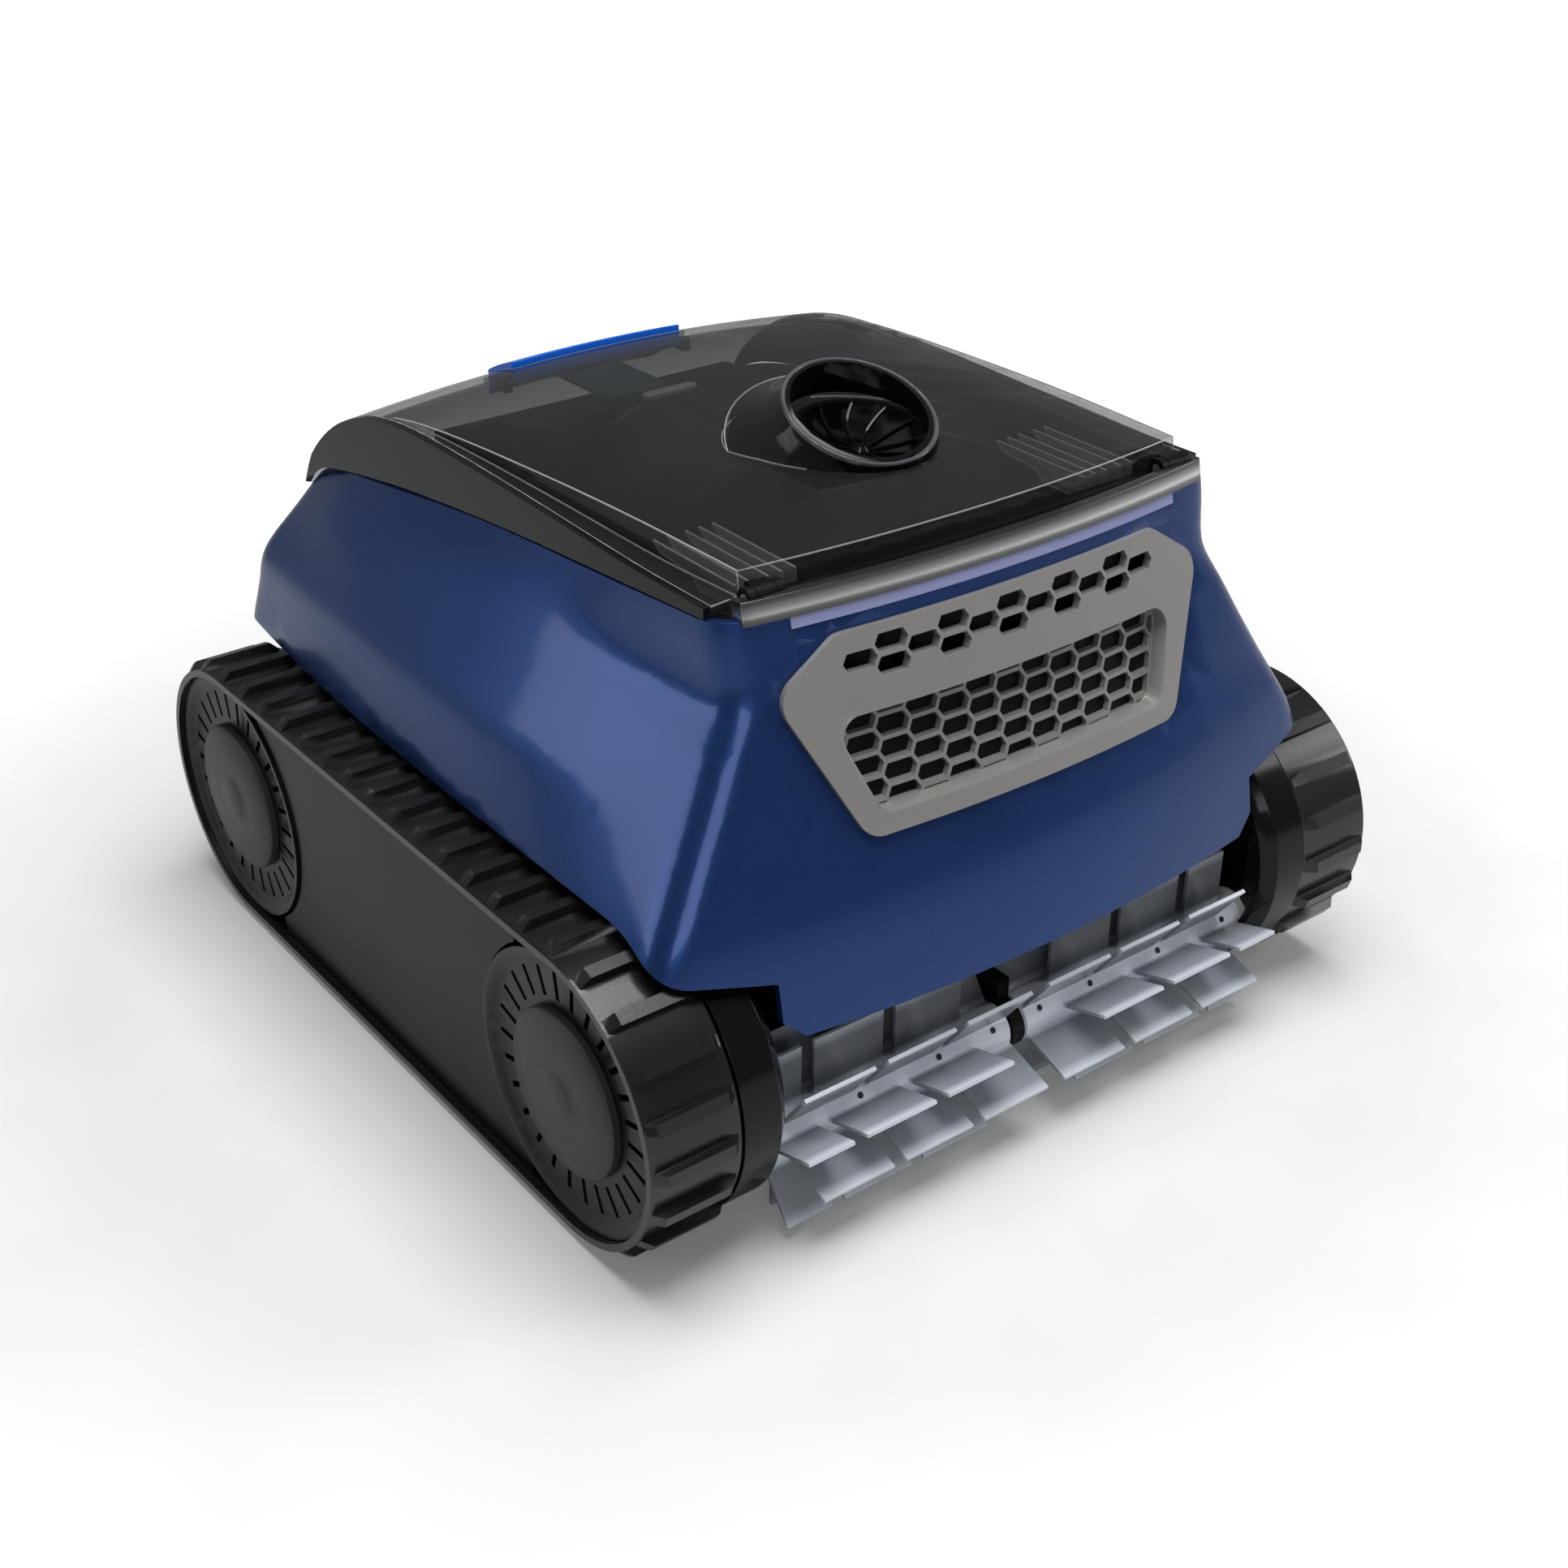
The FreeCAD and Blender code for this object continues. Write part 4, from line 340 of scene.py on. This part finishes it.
FINISHES = {
    "blue_paint": flake_paint(),
    "black_plastic": plastic("black moulding", (0.0035, 0.0035, 0.004), 0.32, Specular_IOR_Level=0.13),
    "gloss_black": plastic(
        "polished black moulding", (0.003, 0.003, 0.0035), 0.12, depth=0.000004, Specular_IOR_Level=0.22
    ),
    "smoke_clear": smoke_clear(
        "smoke clear moulding", (0.014, 0.015, 0.016), (0.024, 0.025, 0.026), 0.24, 0.8
    ),
    "grille_grey": surface(
        "warm grey metallic", (0.29, 0.282, 0.27), (0.35, 0.34, 0.33), 0.34, drift=0.4, Metallic=0.5
    ),
    "bright_trim": bar_with_painted_highlight(),
    # the pale lilac copies blue-lilac highlights along a fold of the shell: a painted highlight
    "pale_trim": plastic("lilac trim with painted highlight", (0.22, 0.24, 0.42), 0.3, depth=0.00001),
    "belt_rubber": plastic(
        "belt rubber", (0.006, 0.0058, 0.0056), 0.26, depth=0.00006, scale=700.0, Specular_IOR_Level=0.5
    ),
    "wheel_plastic": plastic("wheel moulding", (0.006, 0.006, 0.0065), 0.34, Specular_IOR_Level=0.25),
    "cap_plastic": plastic("cap moulding", (0.024, 0.025, 0.027), 0.45, Specular_IOR_Level=0.3),
    "gear_acetal": plastic("natural acetal", (0.62, 0.6, 0.54), 0.35),
    "brush_tube_white": plastic("white tube", (0.8, 0.84, 0.92), 0.22, depth=0.00001),
    "brush_pvc": brush_vinyl(),
    "steel": brushed_metal("bright steel", (0.6, 0.6, 0.6), 0.25),
    "handle_blue": plastic("bright blue handle", (0.003, 0.10, 0.55), 0.3, depth=0.00001),
    "filter_fabric": plastic("woven mesh", (0.4, 0.41, 0.42), 0.8, depth=0.0003, scale=1500.0),
    "motor_resin": plastic("motor housing", (0.03, 0.032, 0.034), 0.5),
    "board_green": plastic("circuit board", (0.02, 0.12, 0.05), 0.35),
}
# finishes of single fine pieces, worn in place of their slot's own
# its pale colour is a painted highlight: the glints that clear edges catch
PAINTED_GLINT_CLEAR = smoke_clear("clear moulding with painted glint", (0.5, 0.51, 0.52), (0.62, 0.63, 0.64), 0.2, 0.95)
SMOKE_EDGE = smoke_clear("smoke edge", (0.11, 0.115, 0.12), (0.16, 0.165, 0.17), 0.3, 0.95)
RIVET_BLACK = plastic("rivet heads", (0.004, 0.004, 0.004), 0.3, depth=0.00001)
PAD_GREEN = plastic("grey green pad", (0.035, 0.05, 0.047), 0.4, depth=0.00002)
BAR_PALE = plastic("pale frosted bar", (0.3, 0.31, 0.32), 0.35, depth=0.00002)

for part in frame["record"]["subparts"]:
    for slot in frame["nodes"][part["node"]].material_slots:
        slot.material = FINISHES[part["material_slot"]]


# ---------------------------------------------------------------- meshes and objects
# doubles closer than these are merged: in a copied CAD mesh, and at the tips of the rivet heads
CAD_WELD = 0.000002
RIVET_WELD = 0.000005
# faces that meet at more than this have a sharp edge, which an eased piece rounds
SHARP = math.radians(35)
FULL_TURN = math.radians(360)


def smooth_mesh(name, shape):
    """Smooth mesh of a finished bmesh, which it frees."""
    mesh = bpy.data.meshes.new(name)
    shape.to_mesh(mesh)
    shape.free()
    for face in mesh.polygons:
        face.use_smooth = True
    return mesh


def placed(name, data):
    """Object of a mesh, curve, light or camera, in the scene."""
    piece = bpy.data.objects.new(name, data)
    bpy.context.collection.objects.link(piece)
    return piece


def finished(name, shape, finish, body):
    """Object of a finished bmesh that rides on a body and takes a finish."""
    mesh = smooth_mesh(name, shape)
    mesh.set_sharp_from_angle(angle=SHARP)
    mesh.materials.append(FINISHES[finish])
    piece = placed(name, mesh)
    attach(piece, body)
    return piece


def refinish(piece, material):
    piece.data.materials[0] = material


def merged_copy(node):
    """Bmesh of a CAD piece, its loose triangles joined at their corners."""
    shape = bmesh.new()
    shape.from_mesh(frame["nodes"][node].data)
    bmesh.ops.remove_doubles(shape, verts=shape.verts, dist=CAD_WELD)
    return shape


def thicken(shape, verts, step):
    """Face through the vertices, pushed along a step into a block."""
    face = shape.faces.new(verts)
    swept = bmesh.ops.extrude_face_region(shape, geom=[face])
    moved = [v for v in swept["geom"] if isinstance(v, bmesh.types.BMVert)]
    bmesh.ops.translate(shape, verts=moved, vec=step)


# ---------------------------------------------------------------- eased CAD pieces
# (width of the eased edge, pieces); every other node keeps its own mesh
EASED = (
    (0.0012, ("body_shell", "rear_panel", "chassis_base")),
    (0.0006, ("track_belt_left", "track_belt_right", "gear_case_left", "gear_case_right")),
    (0.0006, ("side_cover_left", "side_cover_right", "latch_handle", "lid_side_rims", "front_rim")),
    (0.0005, ("wheel_front_left", "wheel_front_right", "wheel_rear_left", "wheel_rear_right")),
    (0.0005, ("hub_cap_front_left", "hub_cap_front_right", "hub_cap_rear_left", "hub_cap_rear_right")),
    (0.0004, ("front_grille", "brush_blades_left", "brush_blades_right", "front_strip_upper")),
    (0.0005, ("lid_window", "filter_lid", "outlet_ring")),
)
# triangles that lie flatter to each other than this become one face before the edges are eased
FLAT = math.radians(0.4)
BODY_OF = {node: body for body, nodes in frame["record"]["behaviour"]["bodies"].items() for node in nodes}
SLOT_OF = {part["node"]: part["material_slot"] for part in frame["record"]["subparts"]}


def eased(node, width):
    """Copy of a CAD piece with its sharp edges rounded."""
    shape = merged_copy(node)
    bmesh.ops.dissolve_limit(shape, angle_limit=FLAT, verts=shape.verts, edges=shape.edges)
    piece = finished(node + "_eased", shape, SLOT_OF[node], BODY_OF[node])
    bevel = piece.modifiers.new("eased edges", "BEVEL")
    bevel.width = width
    bevel.segments = 2
    bevel.limit_method = "ANGLE"
    bevel.angle_limit = SHARP
    bevel.harden_normals = True
    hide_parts(node)


for width, nodes in EASED:
    for node in nodes:
        eased(node, width)


# ---------------------------------------------------------------- clear pieces of the lid
RIM_R = 0.0301
RIM_THICK = 0.0011


def mouth_rim():
    """Clear bead round the outlet mouth, spun flat and then tilted into place."""
    shape = bmesh.new()
    section = bmesh.ops.create_circle(shape, segments=12, radius=RIM_THICK)
    upright = Matrix.Rotation(math.radians(90), 3, "X")
    bmesh.ops.rotate(shape, verts=section["verts"], cent=(0, 0, 0), matrix=upright)
    bmesh.ops.translate(shape, verts=section["verts"], vec=(RIM_R, 0, 0))
    bmesh.ops.spin(
        shape,
        geom=shape.verts[:] + shape.edges[:],
        cent=(0, 0, 0),
        axis=(0, 0, 1),
        angle=FULL_TURN,
        steps=72,
        use_merge=True,
    )
    bmesh.ops.recalc_face_normals(shape, faces=shape.faces)
    place = Matrix.Translation(MOUTH) @ Matrix.Rotation(MOUTH_TILT, 4, "X")
    bmesh.ops.transform(shape, matrix=place, verts=shape.verts)
    refinish(finished("mouth_rim", shape, "smoke_clear", "lid"), SMOKE_EDGE)


# a line follows an edge this sharp, this far above the deck and from the mouth, on faces that don't
# look down, if its run is long enough; it lies a little below the edge
LINE_SHARP = math.radians(28)
LINE_LOW = DECK_TOP + 0.013
LINE_FROM_MOUTH = 0.036
LINE_FACES_DOWN = -0.1
LINE_SHORTEST = 0.006
LINE_SINK = Vector((0, 0, 0.0003))
LINE_R = 0.00035


def crisp_edges(shape):
    """Sharp upper edges of the window, in the order of their numbers."""
    return [
        e
        for e in shape.edges
        if len(e.link_faces) == 2
        and e.calc_face_angle() > LINE_SHARP
        and min(v.co.z for v in e.verts) > LINE_LOW
        and min(f.normal.z for f in e.link_faces) > LINE_FACES_DOWN
        and max((v.co - MOUTH).length for v in e.verts) > LINE_FROM_MOUTH
    ]


def runs_of(edges):
    """Vertices of each unbroken run of edges; of two ways on, a run takes the lower number."""
    left = {e.index for e in edges}
    runs = []
    for edge in edges:
        if edge.index not in left:
            continue
        left.discard(edge.index)
        run = list(edge.verts)
        for end in (1, 0):
            while True:
                tip = run[-1] if end else run[0]
                following = [e for e in tip.link_edges if e.index in left]
                if not following:
                    break
                step = min(following, key=lambda e: e.index)
                left.discard(step.index)
                run.insert(len(run) if end else 0, step.other_vert(tip))
        runs.append(run)
    return runs


def window_edge_glint_lines():
    """Slender pale lines along the crisp upper edges of the clear window: painted highlights for the
    glints on those edges.
    """
    shape = merged_copy("lid_window")
    shape.edges.index_update()
    curve = bpy.data.curves.new("window edge glint lines", "CURVE")
    curve.dimensions = "3D"
    curve.bevel_depth = LINE_R
    curve.bevel_resolution = 1
    for run in runs_of(crisp_edges(shape)):
        if sum((a.co - b.co).length for a, b in zip(run, run[1:])) < LINE_SHORTEST:
            continue
        line = curve.splines.new("POLY")
        line.points.add(len(run) - 1)
        for point, vert in zip(line.points, run):
            point.co = (*(vert.co - LINE_SINK), 1.0)
    shape.free()
    # pale lines: painted highlights along the window's edges
    curve.materials.append(PAINTED_GLINT_CLEAR)
    piece = placed("window_edge_glint_lines", curve)
    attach(piece, "lid")


# one rib's outline is (back, up) from the foot of its front edge; RIBS_AT are distances from the middle
RIB_OUTLINE = ((0, 0), (0.022, 0), (0.026, 0.0042), (0.046, 0.0062), (0.050, 0.0098), (0, 0.0092))
RIB_FRONT = DECK_FRONT + 0.004
RIB_FOOT = DECK_TOP + 0.0022
RIB_THICK = 0.0011
RIBS_AT = (0.070, 0.076, 0.082, 0.090, 0.096)


def hinge_ribs():
    """Clear stiffening ribs under the lid, above the two hinges, in a pale clear finish that paints the
    glints on their edges.
    """
    for side, sign in SIDES:
        shape = bmesh.new()
        for x in RIBS_AT:
            start = sign * x - RIB_THICK / 2
            verts = [shape.verts.new((start, RIB_FRONT + back, RIB_FOOT + up)) for back, up in RIB_OUTLINE]
            thicken(shape, verts, (RIB_THICK, 0, 0))
        bmesh.ops.recalc_face_normals(shape, faces=shape.faces)
        # the pale finish is a painted highlight for the glints on the ribs' edges
        refinish(finished("hinge_ribs_" + side, shape, "smoke_clear", "lid"), PAINTED_GLINT_CLEAR)


# ---------------------------------------------------------------- fine pieces of the body and the brush
def soft_pad(name, at, half, height, corner, finish):
    """Low pad on the canister's lid, with rounded corners and a rounded top edge."""
    shape = bmesh.new()
    verts = [
        shape.verts.new((at[0] + sx * half[0], at[1] + sy * half[1], CANISTER_TOP))
        for sx, sy in ((-1, -1), (1, -1), (1, 1), (-1, 1))
    ]
    thicken(shape, verts, (0, 0, height))
    upright = [e for e in shape.edges if abs(e.verts[0].co.z - e.verts[1].co.z) > height / 2]
    bmesh.ops.bevel(
        shape, geom=upright, offset=corner, segments=8, profile=0.5, affect="EDGES", material=-1
    )
    top = [e for e in shape.edges if min(v.co.z for v in e.verts) > CANISTER_TOP + height * 0.9]
    bmesh.ops.bevel(
        shape, geom=top, offset=height * 0.4, segments=3, profile=0.5, affect="EDGES", material=-1
    )
    bmesh.ops.recalc_face_normals(shape, faces=shape.faces)
    return finished(name, shape, finish, "base")


def canister_marks():
    """Raised bar and pad moulded on the canister's lid."""
    bar = soft_pad(
        "canister_bar",
        at=(0.0065, 0.062),
        half=(0.0135, 0.0028),
        height=0.0022,
        corner=0.0026,
        finish="filter_fabric",
    )
    refinish(bar, BAR_PALE)
    pad = soft_pad(
        "canister_pad",
        at=(-0.004, 0.092),
        half=(0.016, 0.022),
        height=0.0012,
        corner=0.003,
        finish="black_plastic",
    )
    refinish(pad, PAD_GREEN)


# (distance from the middle, height) of a wedge's three corners
FILL_CORNERS = ((0.0740, 0.2222), (0.0900, 0.2222), (0.0900, 0.2125))
FILL_THICK = 0.0024


def grille_corner_fills():
    """Blue wedges in the shell's opening, beside the slanted upper corners of the grille."""
    for side, sign in SIDES:
        shape = bmesh.new()
        verts = []
        for x, z in FILL_CORNERS:
            lean = (z - SHELL_FRONT_AT) * SHELL_LEAN
            verts.append(shape.verts.new((sign * x, SHELL_FRONT + lean + SHELL_BULGE * x * x, z)))
        thicken(shape, verts, (0, FILL_THICK, 0))
        bmesh.ops.recalc_face_normals(shape, faces=shape.faces)
        finished("grille_corner_fill_" + side, shape, "blue_paint", "base")


# half a rivet head as (radius, height over the sleeve); the rivets' distances from the middle, and the
# directions of their rows round the brush, in degrees up from the front
RIVET_HEAD = ((0.0013, -0.0006), (0.0013, 0.0002), (0.0010, 0.0006), (0.0005, 0.0008), (0.0, 0.00085))
RIVETS_AT = (0.0125, 0.0405, 0.0795, 0.1180)
RIVET_ROWS = (34.7, 178.7, 250.7)


def spin_rivet(shape, seat, out):
    """Domed head whose axis stands on the sleeve at a seat and points out."""
    turn = out.to_track_quat("Z", "X")
    profile = [shape.verts.new(seat + turn @ Vector((r, 0, h))) for r, h in RIVET_HEAD]
    edges = [shape.edges.new(pair) for pair in zip(profile, profile[1:])]
    bmesh.ops.spin(
        shape, geom=profile + edges, cent=seat, axis=out, angle=FULL_TURN, steps=14, use_merge=True
    )


def sleeve_rivets():
    """Rivets on the brush sleeves, between the rows of blades."""
    for side, sign in SIDES:
        shape = bmesh.new()
        for x in RIVETS_AT:
            for row in RIVET_ROWS:
                lean = math.radians(row)
                out = Vector((0, -math.cos(lean), math.sin(lean)))
                seat = Vector((sign * x, BRUSH_AXLE.y, BRUSH_AXLE.z)) + out * SLEEVE_R
                spin_rivet(shape, seat, out)
        bmesh.ops.remove_doubles(shape, verts=shape.verts, dist=RIVET_WELD)
        bmesh.ops.recalc_face_normals(shape, faces=shape.faces)
        refinish(finished("sleeve_rivets_" + side, shape, "black_plastic", "brush_" + side), RIVET_BLACK)


mouth_rim()
window_edge_glint_lines()
hinge_ribs()
canister_marks()
grille_corner_fills()
sleeve_rivets()


# ---------------------------------------------------------------- floor, light and camera
# the paper's glow grows from its first to its second strength between two distances from the middle, so
# the paper near the machine is darker: a painted shadow round it
GLOW_FROM, GLOW_TO = 0.3, 0.9
GLOW_NEAR, GLOW_FAR = 0.1, 0.95
SWEEP_REACH = 3.0
SWEEP_CURVE = 1.0
SWEEP_HEIGHT = 4.0
SWEEP_TURN = math.radians(37)


def white_sweep():
    """Matt white paper, with a glow that only the camera sees, so that it lights nothing; the glow is
    weaker near the middle, a painted shadow round the machine.
    """
    material = plastic("white sweep", (0.5, 0.5, 0.5), 0.7, depth=0.00002, Emission_Color=(1, 1, 1, 1))
    tree = material.node_tree
    shader = tree.nodes["Principled BSDF"]
    place = tree.nodes.new("ShaderNodeTexCoord")
    reach = add(tree, "ShaderNodeVectorMath", operation="LENGTH")
    # weaker glow near the middle: a painted shadow on the floor round the machine
    glow = add(
        tree, "ShaderNodeMapRange", From_Min=GLOW_FROM, From_Max=GLOW_TO, To_Min=GLOW_NEAR, To_Max=GLOW_FAR
    )
    seen = tree.nodes.new("ShaderNodeLightPath")
    share = add(tree, "ShaderNodeMath", operation="MULTIPLY")
    link = tree.links.new
    link(place.outputs["Object"], reach.inputs[0])
    link(reach.outputs["Value"], glow.inputs["Value"])
    link(glow.outputs["Result"], share.inputs[0])
    link(seen.outputs["Is Camera Ray"], share.inputs[1])
    link(share.outputs[0], shader.inputs["Emission Strength"])
    return material


def floor_sheet():
    """Pale floor that curves up into a plain wall behind."""
    sheet = bmesh.new()
    bend = SWEEP_REACH - SWEEP_CURVE
    corner = sheet.verts.new((-SWEEP_REACH, -SWEEP_REACH, 0.0))
    end = sheet.verts.new((-SWEEP_REACH, bend, 0.0))
    sheet.edges.new((corner, end))
    bmesh.ops.spin(
        sheet,
        geom=[end],
        cent=(0, bend, SWEEP_CURVE),
        axis=(1, 0, 0),
        angle=math.radians(90),
        steps=24,
    )
    top = max(sheet.verts, key=lambda v: v.co.z)
    wall = sheet.verts.new((-SWEEP_REACH, top.co.y, SWEEP_HEIGHT))
    sheet.edges.new((top, wall))
    swept = bmesh.ops.extrude_edge_only(sheet, edges=list(sheet.edges))
    moved = [v for v in swept["geom"] if isinstance(v, bmesh.types.BMVert)]
    bmesh.ops.translate(sheet, verts=moved, vec=(2 * SWEEP_REACH, 0, 0))
    turn = Matrix.Rotation(SWEEP_TURN, 3, "Z")
    bmesh.ops.rotate(sheet, verts=sheet.verts, cent=(0, 0, 0), matrix=turn)
    bmesh.ops.recalc_face_normals(sheet, faces=sheet.faces)
    mesh = smooth_mesh("floor sheet", sheet)
    mesh.materials.append(white_sweep())
    placed("floor sheet", mesh)


def soft_light(name, at, towards, width, height, power):
    lamp = bpy.data.lights.new(name, "AREA")
    lamp.shape = "RECTANGLE"
    lamp.size = width
    lamp.size_y = height
    lamp.energy = power
    piece = placed(name, lamp)
    piece.location = at
    piece.rotation_euler = (Vector(towards) - Vector(at)).to_track_quat("-Z", "Y").to_euler()


def room_light(strength):
    """Dim even room light, behind what the camera sees as a plain white surround."""
    world = bpy.data.worlds.new("soft room")
    world.use_nodes = True
    tree = world.node_tree
    dim = tree.nodes["Background"]
    dim.inputs["Color"].default_value = (0.95, 0.97, 1.0, 1.0)
    dim.inputs["Strength"].default_value = strength
    white = add(tree, "ShaderNodeBackground", Color=(1.0, 1.0, 1.0, 1.0), Strength=1.0)
    seen = tree.nodes.new("ShaderNodeLightPath")
    mix = tree.nodes.new("ShaderNodeMixShader")
    tree.links.new(seen.outputs["Is Camera Ray"], mix.inputs[0])
    tree.links.new(dim.outputs[0], mix.inputs[1])
    tree.links.new(white.outputs[0], mix.inputs[2])
    tree.links.new(mix.outputs[0], tree.nodes["World Output"].inputs["Surface"])
    bpy.context.scene.world = world


def camera():
    """Three-quarter view over the machine's own front right corner."""
    lens = bpy.data.cameras.new("camera")
    lens.lens = 48.54
    lens.sensor_width = 36.0
    right = Vector((0.79598, -0.60528, -0.00732))
    up = Vector((0.30158, 0.38605, 0.87179))
    back = Vector((-0.52485, -0.69614, 0.48983))
    turn = Matrix((right, up, back)).transposed()
    piece = placed("camera", lens)
    piece.matrix_world = Matrix.Translation(Vector((-0.48469, -0.66918, 0.5328))) @ turn.to_4x4()
    bpy.context.scene.camera = piece


floor_sheet()
room_light(0.16)
soft_light("overhead", (0.0, -0.2, 1.7), (0, 0, 0.1), 1.2, 1.2, 40.0)
soft_light("front left", (-1.0, -1.7, 0.8), (0, 0, 0.12), 1.0, 0.5, 5.0)
soft_light("right side", (1.7, -0.9, 0.9), (0, 0, 0.12), 0.5, 1.0, 9.0)
soft_light("rear left", (-1.8, 0.9, 0.7), (0, 0, 0.12), 1.0, 0.6, 5.0)
camera()
bpy.context.scene.view_settings.view_transform = "Standard"
